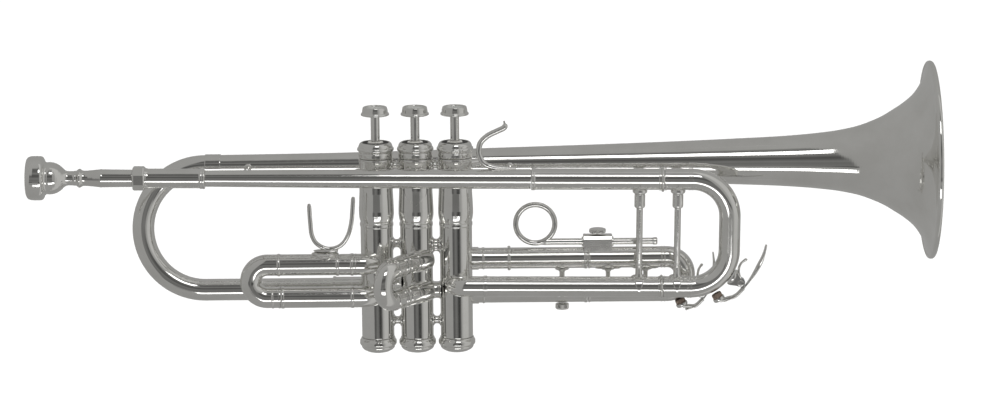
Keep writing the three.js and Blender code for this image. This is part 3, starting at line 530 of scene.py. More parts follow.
def smooth(points, steps):
    """A centripetal Catmull-Rom curve through the points."""
    points = [Vector(point) for point in points]
    ends = [points[0] * 2 - points[1]] + points + [points[-1] * 2 - points[-2]]
    result = []
    for i in range(len(points) - 1):
        a, b, c, d = ends[i:i + 4]
        t1 = (b - a).length ** 0.5
        t2 = t1 + (c - b).length ** 0.5
        t3 = t2 + (d - c).length ** 0.5
        for step in range(steps):
            t = t1 + (t2 - t1) * step / steps
            ab = a * ((t1 - t) / t1) + b * (t / t1)
            bc = b * ((t2 - t) / (t2 - t1)) + c * ((t - t1) / (t2 - t1))
            cd = c * ((t3 - t) / (t3 - t2)) + d * ((t - t2) / (t3 - t2))
            abc = ab * ((t2 - t) / t2) + bc * (t / t2)
            bcd = bc * ((t3 - t) / (t3 - t1)) + cd * ((t - t1) / (t3 - t1))
            result.append(abc * ((t2 - t) / (t2 - t1)) + bcd * ((t - t1) / (t2 - t1)))
    result.append(points[-1])
    return result


def plate(outline, y, thickness, bevel=0.25):
    """A flat plate in the XZ plane with softened edges, from [x, z] pairs."""
    count = len(outline)
    flat = [Vector(pair) for pair in outline]
    turn = sum(flat[i - 1].x * flat[i].y - flat[i].x * flat[i - 1].y for i in range(count))
    inner = []
    for i, point in enumerate(flat):
        before = (point - flat[i - 1]).normalized()
        after = (flat[(i + 1) % count] - point).normalized()
        normal = Vector((before.y + after.y, -before.x - after.x))
        if normal.length > 1e-6:
            normal.normalize()
        inner.append(point - normal * math.copysign(bevel, turn))
    half = thickness / 2
    rings = []
    for depth, ring in ((-half, inner), (bevel - half, flat), (half - bevel, flat), (half, inner)):
        rings.append([Vector((p.x, y + depth, p.y)) for p in ring])
    return Shape().shell(rings)


def patch(at, widths, lift, steps=10):
    """A thin leaf that hugs a surface. at(s, t, height) gives points; widths are (s, half width)."""
    rings = []
    for s, half in widths:
        across = [half * (2 * i / steps - 1) for i in range(steps + 1)]
        top = [at(s, t, lift * (1 if abs(t) < half else 0.6)) for t in across]
        rings.append(top + [at(s, t, -0.3) for t in reversed(across)])
    return Shape().shell(rings)


LEAD = Matrix.Translation((0, LEAD_Y, LEAD_Z)) @ Matrix.Rotation(LEAD_SLOPE, 4, "Y")


def piece(name, shape, replaces=(), body="instrument", material=None, crease=32):
    """Makes the shape a piece that rides on a body and stands for the named CAD nodes."""
    mesh = bpy.data.meshes.new(name)
    mesh.from_pydata([point * MM for point in shape.points], [], shape.faces)
    mesh.shade_smooth()
    mesh.set_sharp_from_angle(angle=math.radians(crease))
    mesh.materials.append(material or SILVER)
    obj = bpy.data.objects.new(name, mesh)
    bpy.context.scene.collection.objects.link(obj)
    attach(obj, body)
    if replaces:
        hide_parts(*replaces)
    return obj


# ---- valves -----------------------------------------------------------------------------------
def valve_x(number):
    return (number - 2) * VALVE_PITCH


def casing_wall(number):
    """The axis and radius of the wall that a tube's end meets at a valve."""
    return (valve_x(number), 0, CASING_SEAT)


def casing_profile():
    return above(
        CASING_BOTTOM, (BORE_RADIUS, -5), (NECK_RADIUS, -5), (NECK_RADIUS, 0), (CASING_RADIUS, 0),
    ) + above(
        CASING_STEP, (CASING_RADIUS, -3.4), (CASING_RADIUS + 0.35, -3), (CASING_RADIUS + 0.35, -1.2),
        (CASING_RADIUS - 0.15, -0.8), (CASING_RADIUS, 0), (CASING_RADIUS + 0.3, 0.8),
        (CASING_BULGE_RADIUS - 0.2, 2.4), (CASING_BULGE_RADIUS, 4.4), (CASING_BULGE_RADIUS, 7),
        (CASING_BULGE_RADIUS - 0.2, 12), (CASING_UPPER_RADIUS, 18),
    ) + above(
        CASING_TOP, (CASING_UPPER_RADIUS, -1.8), (CASING_UPPER_RADIUS + 0.3, -1.5),
        (CASING_UPPER_RADIUS + 0.3, 0), (NECK_RADIUS, 0), (NECK_RADIUS, 6), (BORE_RADIUS, 6),
    )


def casing_surface(z):
    """Outer radius of the upper casing at a height."""
    low, high = CASING_STEP + 8, CASING_STEP + 19
    share = min(max((z - low) / (high - low), 0), 1)
    return CASING_BULGE_RADIUS + (CASING_UPPER_RADIUS - CASING_BULGE_RADIUS) * share


TIES = ((3.4, 2.2), (-45.4, 2.6), (-94, 2.4))
PORT_TIE_Z = -75
UPPER_PORT_TIE_Z = -69.3


def casing_tie(left, z, radius):
    """A turned tie between two casings: a waist between two collars."""
    start = CASING_RADIUS - 0.5
    length = VALVE_PITCH - 2 * start
    half = [[0, 0], [radius + 1.5, 0], [radius + 1.4, 0.75], [radius + 0.4, 1.2], [radius, 1.9]]
    return turned(mirrored(half, length), X_AXIS, (left + start, 0, z), 32, 0.3)


def port_tie(left, z):
    """A short wide tube that carries the air from one casing into the next."""
    start = CASING_RADIUS - 0.5
    length = VALVE_PITCH - 2 * start
    half = [[0, 0], [5.8, 0], [5.7, 0.7], [5.3, 1.2], [5.2, length / 2]]
    return turned(mirrored(half, length), X_AXIS, (left + start, 0, z), 40, 0.3)


def build_casings():
    for number in (1, 2, 3):
        at = (valve_x(number), 0, 0)
        casing = turned(casing_profile(), at=at, fillet=0.5)
        piece(f"casing_{number}", casing, [f"valve_casing_{number}"])
    ties = Shape()
    for left in (-VALVE_PITCH, 0):
        for z, radius in TIES:
            ties.join(casing_tie(left, z, radius))
    ties.join(port_tie(0, PORT_TIE_Z), port_tie(-VALVE_PITCH, UPPER_PORT_TIE_Z), casing_tie(0, -48.9, 1.7))
    piece("casing_ties", ties)


def build_caps():
    inner = NECK_RADIUS + 0.1
    top = [
        [inner, CASING_TOP + GAP], [CAP_RADIUS - 1.1, CASING_TOP + GAP], [CAP_RADIUS - 1, 9.1],
        [CAP_RADIUS - 0.8, 9.4], [CAP_RADIUS - 0.8, 11.4], [CAP_RADIUS - 1, 11.7],
        [CAP_RADIUS - 1, 12.5], [CAP_RADIUS - 0.5, 12.9], [CAP_RADIUS - 0.1, 13.5],
        [CAP_RADIUS - 0.1, 14.3], [CAP_RADIUS - 0.4, 14.9], [CAP_RADIUS - 0.9, 15.1],
        [CAP_RADIUS - 0.9, 15.6], [10.2, 16.6], [9.7, 17.5], [9, CAP_TOP - 0.05], [8.5, CAP_TOP],
        [8.2, CAP_TOP - 0.6], [5.2, CAP_TOP - 0.6], [4.7, CAP_TOP], [CAP_HOLE_RADIUS, CAP_TOP],
        [CAP_HOLE_RADIUS, CAP_TOP - 1.3], [inner, CAP_TOP - 1.3],
    ]
    bottom = above(
        CAP_BOTTOM, (2.4, 0.1), (3.6, 0), (7, 0.9), (9.3, 2.2), (10.2, 3.3), (10.3, 4.1),
        (10.1, 4.5), (10.9, 4.8), (CAP_RADIUS, 5.6), (CAP_RADIUS, 7.6), (CAP_RADIUS - 0.5, 8.4),
        (10.5, 8.9),
    ) + above(
        CASING_BOTTOM, (10.5, -GAP), (NECK_RADIUS + 0.1, -GAP),
    ) + above(
        CAP_BOTTOM, (NECK_RADIUS + 0.1, 4.5), (2.4, 2),
    )
    low, high = CAP_TOP - 0.55, CAP_TOP - 0.15
    pad = [[5.15, low], [8.15, low], [8.1, high], [5.2, high]]
    for number in (1, 2, 3):
        at = (valve_x(number), 0, 0)
        for name, outline in (("top", top), ("bottom", bottom)):
            cap = turned(outline, at=at, fillet=0.4)
            piece(f"cap_{name}_{number}", cap, [f"{name}_cap_{number}"])
        piece(f"cap_pad_{number}", turned(pad, at=at), material=DARK_FELT)


def build_button(number):
    """The finger button with its stem, inlay and the felt under it."""
    at = (valve_x(number), 0, 0)
    body = f"piston_{number}_set"
    outline = [
        [0, BUTTON_TOP - 0.6], [5.9, BUTTON_TOP - 0.6], [6.1, BUTTON_TOP + 0.3],
        [6.8, BUTTON_TOP + 0.8], [7.4, BUTTON_TOP + 0.4], [7.75, BUTTON_TOP - 0.9],
        [7.95, BUTTON_TOP - 2.4], [8, 36.5], [8.5, 36.2], [BUTTON_RADIUS, 35.6], [8.7, 35],
        [8, 34.7], [5, 34.55], [3.3, 34.5], [2.95, 34.45], [2.95, BUTTON_BOTTOM - 0.7],
        [0, BUTTON_BOTTOM - 0.7],
    ]
    piece(f"button_{number}", turned(outline, at=at, fillet=0.4), [f"finger_button_{number}"], body)
    seat = BUTTON_TOP - 0.6
    inlay = [[0, seat], [5.85, seat], [5.85, seat + 0.5], [4, seat + 0.65], [0, seat + 0.7]]
    piece(f"button_inlay_{number}", turned(inlay, at=at), body=body, material=PEARL)
    stem = [
        [0, BARREL_TOP + 0.05], [5.4, BARREL_TOP + 0.05], [5.4, BARREL_TOP + 0.6],
        [STEM_RADIUS + 0.06, BARREL_TOP + 0.7], [STEM_RADIUS + 0.06, BUTTON_BOTTOM - 0.5],
        [0, BUTTON_BOTTOM - 0.5],
    ]
    piece(f"stem_{number}", turned(stem, at=at, sides=48), body=body)
    low, high = CAP_TOP + 0.02, CAP_TOP + 0.34
    felt = [[3.05, low], [4.6, low], [4.6, high], [3.05, high]]
    piece(f"cap_felt_{number}", turned(felt, at=at, sides=48), material=FELT)


def build_spring(number):
    low = Vector((valve_x(number), 0, GUIDE_TOP + 0.9))
    high = Vector((valve_x(number), 0, BARREL_TOP - 2.3))
    coil = sweep(helix(low, high, X_AXIS, Y_AXIS, 5.4, 6, 24), 0.45, sides=8)
    name = f"valve_spring_{number}"
    obj = piece(f"coil_{number}", coil, [name], material=STEEL)
    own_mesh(obj)


def build_valves():
    build_casings()
    build_caps()
    for number in (1, 2, 3):
        build_button(number)
        build_spring(number)
        for name in (f"piston_{number}", f"valve_guide_{number}"):
            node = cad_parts[name]
            node.data.materials.clear()
            node.data.materials.append(NICKEL)


# ---- bell and bell bow ------------------------------------------------------------------------
BELL_PROFILE = [
    (BELL_START, 6.7), (-41.7, 7.65), (51.8, 9.85), (114.1, 11.4), (160, 12.8), (200.1, 14.3),
    (230, 15.7), (251.2, 17.5), (263.8, 19.2), (276.3, 22.1), (289.4, 27.4), (296, 31.3),
    (302.6, 35.6), (309.2, 41.2), (314.3, 48.6), (316.6, 54.2), (317.6, 58.9),
]
RIM_BEAD_WIDTH = 3.3
RIM_BEAD_HEIGHT = 2.5
RIM_BEAD_RADIUS = 60.35  # from the bell's axis to the middle of the bead


def build_bell():
    """The bell: a thin flare whose edge is rolled over a wire."""
    curve = [point.to_2d() for point in smooth([(x, r, 0) for x, r in BELL_PROFILE], 8)]
    outer = [[point.y, point.x] for point in curve]
    inner = []
    for i, point in enumerate(curve):
        slope = curve[min(i + 1, len(curve) - 1)] - curve[max(i - 1, 0)]
        slope.normalize()
        inner.append([point.y - slope.x * BELL_WALL * 0.7, point.x + slope.y * BELL_WALL * 0.7])
    inner[0][1] = BELL_START
    last = len(curve) - 1
    outer, inner = outer[:last], inner[:last]
    centre = Vector((RIM_BEAD_RADIUS, BELL_RIM - RIM_BEAD_WIDTH / 2))
    bead = []
    for i in range(15):
        angle = math.radians(-135 + 290 * i / 14)
        high, wide = RIM_BEAD_HEIGHT / 2, RIM_BEAD_WIDTH / 2
        bead.append([centre.x + high * math.cos(angle), centre.y + wide * math.sin(angle)])
    bell = turned(outer + bead + inner[::-1], X_AXIS, (0, BELL_Y, 0), 128, 0)
    piece("bell_shell", bell, ["bell_stem", "bell_flare"], crease=60)


def build_bell_bow():
    start = Vector((BELL_START - GAP, BELL_Y, 0))
    top = start - X_AXIS * 2
    bottom = Vector((top.x, BOW_LEG_Y, BOW_LEG_Z))
    centre = (top + bottom) / 2
    up = top - centre
    bend = arc(centre, up, X_AXIS * -up.length, 0, 180, 72)
    meet = casing_wall(1)

    def leg(x):
        return Vector((x, BOW_LEG_Y, BOW_LEG_Z))

    path = [start, start - X_AXIS] + bend + [bottom + X_AXIS * 40, leg(BOW_LEG_END)]
    bow = tube(path, BOW_RADIUS, BOW_RADIUS - 0.8, meet)
    path = [leg(x) for x in (BOW_FERRULE_START, BOW_LEG_END - 5, BOW_LEG_END)]
    ferrule = tube(path, BOW_FERRULE_RADIUS, 6.6, meet)
    edge = pipe(leg(BOW_FERRULE_START - 1.2), leg(BOW_FERRULE_START + 0.6), 7.7, 6.6, TUBE)
    path = [leg(x) for x in (BOW_LEG_END - 12, BOW_LEG_END - 5, BOW_LEG_END)]
    plug = sweep(path, BOW_RADIUS - 0.05, sides=TUBE, across=Y_AXIS, meet=meet)
    piece("bow_tube", bow, ["bell_bow"])
    piece("bow_ferrule", ferrule.join(edge, plug))
    sleeve = pipe(start - X_AXIS * 1.6, start + X_AXIS * 8, 7.25, 6.4, TUBE, 0.35)
    piece("bell_ferrule", sleeve)


# ---- leadpipe, receiver and mouthpiece --------------------------------------------------------
def build_leadpipe():
    outer = [[4.75, RECEIVER_END - 5.7], [4.75, RECEIVER_END + GAP], [5.05, RECEIVER_END + GAP]]
    outer += [[5.3, -95], [5.75, -40], [6, 0], [6.15, LEAD_END]]
    inner = [[5.3, LEAD_END], [5.1, 0], [4.4, -95], [3.9, RECEIVER_END - 5.7]]
    pipe_shape = turned(outer + inner, X_AXIS, sides=TUBE, fillet=0.2).moved(LEAD)
    piece("lead_tube", pipe_shape, ["leadpipe"])


def shank_radius(x):
    return 5.2 - (x - RECEIVER_START) * 0.02


def build_receiver():
    """The receiver: a faceted collar at its mouth, a straight sleeve and a double bead."""
    start, end = RECEIVER_START, RECEIVER_END
    sleeve = turned(above(
        start, (shank_radius(start) + 0.15, 0.4), (6.5, 0.4), (6.5, 7.6), (6.2, 8.4), (6, 9.4),
    ) + above(
        end, (6, -3.2), (6.4, -2.8), (6.5, -2.3), (6.3, -1.7), (6.5, -1.2), (6.5, -0.4), (6.2, 0),
        (5.1, 0), (5.1, -6), (shank_radius(end - 6) + 0.15, -6),
    ), X_AXIS, sides=TUBE, fillet=0.3)
    collar = turned(above(
        start, (6.1, 0), (6.9, 0), (7.6, 0.8), (7.6, 6.6), (6.9, 7.6), (6.1, 7.6),
    ), X_AXIS, sides=8, fillet=0.3)
    turn = Matrix.Rotation(math.radians(22.5), 4, "X")
    piece("receiver_sleeve", sleeve.moved(LEAD), ["mouthpiece_receiver"])
    piece("receiver_collar", collar.moved(LEAD @ turn), crease=20)


def build_mouthpiece():
    face = MOUTHPIECE_FACE
    end = MOUTHPIECE_LENGTH
    outer = [
        [9.2, 0.35], [10.4, -0.02], [11.7, 0.3], [12.8, 1.2], [13.4, 2.8], [13.55, 5], [13.5, 8.8],
        [13.15, 10], [12, 10.8], [10.6, 11.3], [9.9, 12], [9.7, 12.7], [9.9, 13.4], [9.9, 14.8],
        [9.6, 16.6], [9.1, 18.2], [8.2, 20], [7, 21.5], [5.7, 22.8], [4.8, 23.9], [4.4, 25.2],
        [4.4, 28.6], [4.6, 29.8], [4.5, 30.3], [5, 31], [5.7, 31.8], [5.85, 32.5], [5.5, 33.3],
        [4.8, 34.2], [4.65, 35.6], [4.75, 37.6], [5.05, 40.8], [5.5, 44.8], [5.62, 45.6],
        [5.5, 46.4], [shank_radius(RECEIVER_START) + 0.1, 64.5],
        [shank_radius(RECEIVER_START) - 0.02, 64.7], [shank_radius(face + end), end - 0.3],
        [shank_radius(face + end) - 0.3, end],
    ]
    inner = [[4.2, MOUTHPIECE_LENGTH], [1.9, 27], [1.9, 20], [2.6, 17.6], [5, 14.6], [6.9, 11.4]]
    inner += [[7.9, 7.6], [8.3, 3.6], [8.5, 1.4]]
    outline = [[radius, face + x] for radius, x in outer + inner]
    cup = turned(outline, X_AXIS, sides=FINE, fillet=0.45).moved(LEAD)
    piece("mouthpiece_cup", cup, ["mouthpiece"], "mouthpiece_set", crease=40)


# ---- main tuning slide ------------------------------------------------------------------------
def on_main(x, drop):
    return Vector((x, MAIN_SHIFT_Y * drop, -MAIN_DROP * drop))


def tube_leaf(centre, radius, half_length, reach, lift=0.5, side=1):
    """A pointed leaf wrapped over a tube along X, at the end of a brace; side is -1 for one under it."""
    def at(s, t, height):
        out = side * (radius + height)
        return centre + Vector((t, -out * math.sin(s), out * math.cos(s)))

    steps = 16
    limit = math.radians(reach)
    widths = []
    for i in range(steps + 1):
        share = abs(2 * i / steps - 1)
        widths.append((limit * (2 * i / steps - 1), max(half_length * (1 - share ** 1.3), 0.2)))
    return patch(at, widths, lift)


def build_main_outer():
    bore = SLIDE_BORE
    start, end = MAIN_OUTER_START, MAIN_OUTER_END
    upper = turned(above(
        start, (bore, 0), (6.75, 0), (7, 0.4), (6.75, 1), (7, 1.5), (6.8, 2.1),
        (SLIDE_RADIUS, 2.4),
    ) + above(
        end, (SLIDE_RADIUS, -3.3), (6.9, -3.1), (6.9, -2.3), (6.7, -2), (7.5, -1.7), (7.9, -1.2),
        (7.7, -0.5), (7, 0), (bore, 0),
    ), X_AXIS, sides=TUBE, fillet=0.3)
    piece("main_outer_upper", upper.moved(LEAD), ["main_slide_outer_upper"])

    turn = 7
    tip = on_main(end, 1)
    corner = Vector((VALVE_PITCH + turn, tip.y + turn, tip.z))
    elbow = arc(corner, (0, -turn, 0), (-turn, 0, 0), 0, 90, 14)
    deep = tip - X_AXIS * 75
    path = [tip, deep] + elbow
    meet = (VALVE_PITCH, -LEAD_Y, CASING_SEAT)
    lower = tube(path, MAIN_LOWER_RADIUS, 5.7, meet)
    rim = turned([
        [5.9, -3], [6.7, -2.9], [6.75, -2.1], [6.6, -1.9], [7.3, -1.6], [7.6, -1.1], [7.4, -0.5],
        [6.8, 0], [5.9, 0],
    ], X_AXIS, tip, TUBE, 0.3)
    collar = pipe((42, tip.y, tip.z), (44.2, tip.y, tip.z), 6.75, 6, TUBE, 0.4)
    piece("main_outer_lower", lower.join(rim, collar).moved(LEAD), ["main_slide_outer_lower"])


def main_bow_path():
    radius = MAIN_BEND_RADIUS
    path = []
    for low, high, z in ((0, 90, -radius), (90, 180, -MAIN_DROP + radius)):
        path += arc((MAIN_BEND_X, 0, z), (0, 0, radius), (radius, 0, 0), low, high, 28)
    for point in path:
        point.y = -point.z / MAIN_DROP * MAIN_SHIFT_Y
    return path


def build_main_slide():
    start = MAIN_OUTER_END + GAP
    ends = [on_main(start, 0), on_main(start, 1)]
    bow = tube([ends[0]] + main_bow_path() + [ends[1]], SLIDE_RADIUS, 5.2)
    trim = Shape()
    for end in ends:
        inner = pipe(end - X_AXIS * 70, end + X_AXIS * 4, INNER_RADIUS, INNER_BORE, 48)
        seam = end.copy()
        seam.x = MAIN_BEND_X - 1.8
        lip = pipe(end, end + X_AXIS * 1.1, 6.8, 5.3, TUBE)
        for step in (0, 1.6):
            place = seam + X_AXIS * step
            trim.join(pipe(place, place + X_AXIS * 0.9, 6.85, 6, TUBE, 0.35))
        trim.join(inner, lip)
    piece("main_bow", bow.join(trim).moved(LEAD), ["main_tuning_slide"], "main_slide_set")


def main_brace(x, upper_radius, lower_radius):
    """A socket under the upper tube, a rod, and a leaf over the lower tube."""
    top, foot = on_main(x, 0), on_main(x, 1)
    axis = (foot - top).normalized()
    low = (foot - top).length - lower_radius - 0.1
    high = upper_radius - 0.1
    outline = above(
        high, (0, -0.6), (4.3, -0.6), (4.5, 1.4), (4.2, 2), (3.3, 2.3), (3.1, 3), (3.3, 3.5),
        (3.3, 10.6), (3, 11.3), (2.1, 11.6), (2, 12),
    ) + above(
        low, (2, -8.5), (2.4, -8), (2.4, -7.2), (2.1, -6.7), (2.2, -2), (2.5, -1), (2.7, -0.3),
        (2.7, 0.7), (0, 0.7),
    )
    shape = turned(outline, axis, top, 48, 0.35)
    shape.join(tube_leaf(foot, lower_radius, 4.6, 112, 0.8), tube_leaf(foot, lower_radius, 4.4, 30, 1.2))
    return shape.join(tube_leaf(top, upper_radius, 4.6, 62, side=-1)).moved(LEAD)


def build_main_braces():
    fixed = main_brace(MAIN_FIXED_BRACE_X, SLIDE_RADIUS, MAIN_LOWER_RADIUS)
    piece("main_brace_fixed", fixed, ["main_slide_outer_brace"])
    moving = main_brace(MAIN_MOVING_BRACE_X, SLIDE_RADIUS, SLIDE_RADIUS)
    piece("main_brace_moving", moving, ["main_slide_brace"], "main_slide_set")


# ---- first valve slide ------------------------------------------------------------------------
def first_knuckle(z):
    """The quarter turn that brings a tube of the first slide into its casing."""
    turn = FIRST_KNUCKLE_TURN
    corner = Vector((FIRST_KNUCKLE_X - turn, FIRST_Y + turn, z))
    return arc(corner, (0, -turn, 0), (turn, 0, 0), 0, 90, 16)


def ring_on(x, y, z, width, radius, bore):
    """A narrow rounded band round a tube that runs along X."""
    half = width / 2
    outline = [[bore, -half], [radius - 0.25, -half], [radius, 0], [radius - 0.25, half], [bore, half]]
    return turned(outline, X_AXIS, (x, y, z), TUBE, 0.25)


def build_first_outer():
    meet = casing_wall(1)
    start = Vector((FIRST_TOP_SEAM, FIRST_Y, FIRST_TOP_Z))
    elbow = first_knuckle(FIRST_TOP_Z)
    spigot = start - X_AXIS * 38
    upper = tube([start] + elbow, SLIDE_RADIUS, 4.9, meet)
    upper.join(pipe(spigot, start + X_AXIS * 1, INNER_RADIUS, INNER_BORE))
    upper.join(ring_on(-39.5, FIRST_Y, FIRST_TOP_Z, 2, 7, 6))
    upper.join(ring_on(-37.2, FIRST_Y, FIRST_TOP_Z, 1, 6.8, 6))
    piece("first_outer_upper", upper, ["first_slide_outer_upper"])

    start = Vector((FIRST_BOTTOM_SEAM, FIRST_Y, FIRST_BOTTOM_Z))
    elbow = first_knuckle(FIRST_BOTTOM_Z)
    lower = tube([start] + elbow, SLIDE_RADIUS, SLIDE_BORE, meet)
    for x, width in ((-39.5, 2), (FIRST_BOTTOM_SEAM + 1.2, 2.2)):
        lower.join(ring_on(x, FIRST_Y, FIRST_BOTTOM_Z, width, 7, 6))
    piece("first_outer_lower", lower, ["first_slide_outer_lower"])


def build_first_slide():
    radius = (FIRST_TOP_Z - FIRST_BOTTOM_Z) / 2
    centre = (FIRST_CROOK_X, FIRST_Y, FIRST_TOP_Z - radius)
    crook = arc(centre, (0, 0, radius), (-radius, 0, 0), 0, 180, 48)
    top = Vector((FIRST_TOP_SEAM - GAP, FIRST_Y, FIRST_TOP_Z))
    bottom = Vector((FIRST_BOTTOM_SEAM - GAP, FIRST_Y, FIRST_BOTTOM_Z))
    straight = top.lerp(crook[0], 0.95)
    slide = tube([top, straight] + crook + [bottom], SLIDE_RADIUS, SLIDE_BORE)
    slide.join(pipe(bottom - X_AXIS * 3, bottom + X_AXIS * 38, INNER_RADIUS, INNER_BORE))
    slide.join(pipe(bottom - X_AXIS * 1.1, bottom, 6.8, 5.2, TUBE))
    for x in (FIRST_TOP_SEAM - 1.4, -84.6):
        slide.join(ring_on(x, FIRST_Y, FIRST_TOP_Z, 2, 7, 6))
    slide.join(ring_on(-88.6, FIRST_Y, FIRST_BOTTOM_Z, 1.4, 6.9, 6))
    piece("first_crook", slide, ["first_slide"], "first_slide_set")


def build_thumb_hook():
    """The open U for the left thumb: a bent wire on a curved foot."""
    wire = [(-65.3, -17.9), (-64.7, -29.5), (-63.9, -37.3), (-61.7, -42), (-57.7, -45), (-53.4, -46.1)]
    wire += [(-48.7, -45.3), (-45, -42.9), (-41.6, -37.5), (-39.5, -29.7), (-38.7, -21.9), (-38.1, -13.8)]
    path = smooth([(x, FIRST_Y, z) for x, z in wire], 8)
    count = len(path)
    radii = [1.35 * min(1, 0.6 + min(i, count - 1 - i) / 3) for i in range(count)]
    hook = sweep(path, radii, sides=20, across=Y_AXIS)
    foot = sweep(
        [Vector((x, FIRST_Y, -47.2)) for x in (-63, -61, -56, -53, -50, -48)],
        [1, 2.2, 3, 3.2, 3, 2.2], [0.3, 0.7, 1.1, 1.3, 1.1, 0.7], sides=24, across=Y_AXIS,
    )
    leaf = tube_leaf(Vector((-56, FIRST_Y, FIRST_TOP_Z)), SLIDE_RADIUS, 8.2, 62, 1.5)
    piece("thumb_hook", hook.join(foot, leaf), ["first_slide_thumb_hook"], "first_slide_set")


# ---- second valve slide -----------------------------------------------------------------------
SECOND_WAY = Vector((math.cos(SECOND_ANGLE), math.sin(SECOND_ANGLE), 0))


def on_second(along, z):
    return SECOND_START + SECOND_WAY * along + Vector((0, 0, z))


def build_second_slide():
    for name, z in (("upper", SECOND_TOP_Z), ("lower", SECOND_BOTTOM_Z)):
        path = [on_second(SECOND_SEAM, z), on_second(5, z), on_second(3, z)]
        outer = tube(path, SECOND_RADIUS, SECOND_BORE, casing_wall(2))
        saddle = [on_second(along, z) for along in (8.2, 6, 3)]
        outer.join(tube(saddle, 6.9, 5.9, casing_wall(2)))
        for along, width in ((SECOND_SEAM - 1.1, 2.2), (SECOND_SEAM - 4.2, 1), (11.4, 1.2)):
            half = SECOND_WAY * (width / 2)
            middle = on_second(along, z)
            band = pipe(middle - half, middle + half, SECOND_RADIUS + 0.4, SECOND_BORE + 0.2, TUBE, 0.35)
            outer.join(band)
        piece(f"second_outer_{name}", outer, [f"second_slide_outer_{name}"])
    radius = (SECOND_TOP_Z - SECOND_BOTTOM_Z) / 2
    centre = on_second(SECOND_CROOK, SECOND_TOP_Z - radius)
    crook = arc(centre, (0, 0, radius), SECOND_WAY * radius, 0, 180, 48)
    ends = [on_second(SECOND_SEAM + GAP, z) for z in (SECOND_TOP_Z, SECOND_BOTTOM_Z)]
    slide = tube([ends[0]] + crook + [ends[1]], SECOND_RADIUS, 4.9)
    for end in ends:
        slide.join(pipe(end - SECOND_WAY * 13, end + SECOND_WAY * 3.5, SECOND_INNER_RADIUS, 4.2))
        slide.join(pipe(end, end + SECOND_WAY * 1.2, SECOND_RADIUS + 0.3, 4.95, TUBE, 0.35))
        seam = end + SECOND_WAY * 7.2
        slide.join(pipe(seam, seam + SECOND_WAY * 1.2, SECOND_RADIUS + 0.35, 5.5, TUBE, 0.35))
    piece("second_crook", slide, ["second_slide"], "second_slide_set")


# ---- third valve slide ------------------------------------------------------------------------
def on_third(x, z):
    return Vector((x, THIRD_Y, z))


def build_third_outer():
    for name, z in (("upper", THIRD_TOP_Z), ("lower", THIRD_BOTTOM_Z)):
        meet = casing_wall(3)
        end = THIRD_TUBE_END
        straight, collar, plug = [
            [on_third(x, z) for x in (start, middle, end)]
            for start, middle in ((THIRD_SEAM, end + 6), (end + 2.2, end + 1.2), (end + 6, end + 2))
        ]
        backwards = tube(straight, SLIDE_RADIUS, SLIDE_BORE, meet)
        backwards.join(tube(collar, 7.1, 6.4, meet))
        backwards.join(sweep(plug, SLIDE_RADIUS - 0.1, sides=TUBE, across=Y_AXIS, meet=meet))
        backwards.join(ring_on(end + 5.2, THIRD_Y, z, 1.4, 7, 6))
        backwards.join(ring_on(THIRD_SEAM - 1.1, THIRD_Y, z, 2.2, 7, 5.9))
        if name == "upper":
            backwards.join(ring_on(57.1, THIRD_Y, z, 1.8, 7.7, 6))
        piece(f"third_outer_{name}", backwards, [f"third_slide_outer_{name}"])


def build_third_slide():
    radius = (THIRD_TOP_Z - THIRD_BOTTOM_Z) / 2
    centre = on_third(THIRD_CROOK_X, THIRD_TOP_Z - radius)
    crook = arc(centre, (0, 0, radius), (radius, 0, 0), 0, 180, 48)
    ends = [on_third(THIRD_SEAM + GAP, z) for z in (THIRD_TOP_Z, THIRD_BOTTOM_Z)]
    path = [ends[0], ends[0] + X_AXIS * 40] + crook + [ends[1]]
    slide = tube(path, SLIDE_RADIUS, 5.2)
    for end in ends:
        slide.join(pipe(end - X_AXIS * 60, end + X_AXIS * 4, INNER_RADIUS, INNER_BORE))
        slide.join(ring_on(end.x + 0.7, THIRD_Y, end.z, 1.4, 6.95, 5.3))
        for x in (THIRD_CROOK_X - 3.4, THIRD_CROOK_X - 1.6):
            slide.join(ring_on(x, THIRD_Y, end.z, 0.9, 6.85, 6))
    piece("third_crook", slide, ["third_slide"], "third_slide_set")
    braces = Shape()
    for x in THIRD_SLIDE_BRACES:
        braces.join(third_brace(x, 1.4, 8))
    piece("third_slide_braces", braces, body="third_slide_set")


def third_brace(x, radius, wing):
    """A short post between the two legs of the third slide, with a leaf on each."""
    low = THIRD_BOTTOM_Z + SLIDE_RADIUS - 0.3
    high = THIRD_TOP_Z - SLIDE_RADIUS + 0.3
    outline = [
        [0, low], [2.4, low], [2.2, low + 0.4], [radius + 0.1, low + 0.7], [radius, low + 1.4],
        [radius, high - 2.6], [radius + 0.6, high - 2.2], [radius + 0.6, high - 1.4],
        [4.2, high - 1.1], [4.3, high], [0, high],
    ]
    shape = turned(outline, Z_AXIS, on_third(x, 0), 32, 0.25)
    shape.join(tube_leaf(on_third(x, THIRD_BOTTOM_Z), SLIDE_RADIUS, 4.8, 60, 0.4))
    return shape.join(tube_leaf(on_third(x, THIRD_TOP_Z), SLIDE_RADIUS, wing, 60, 0.7, side=-1))


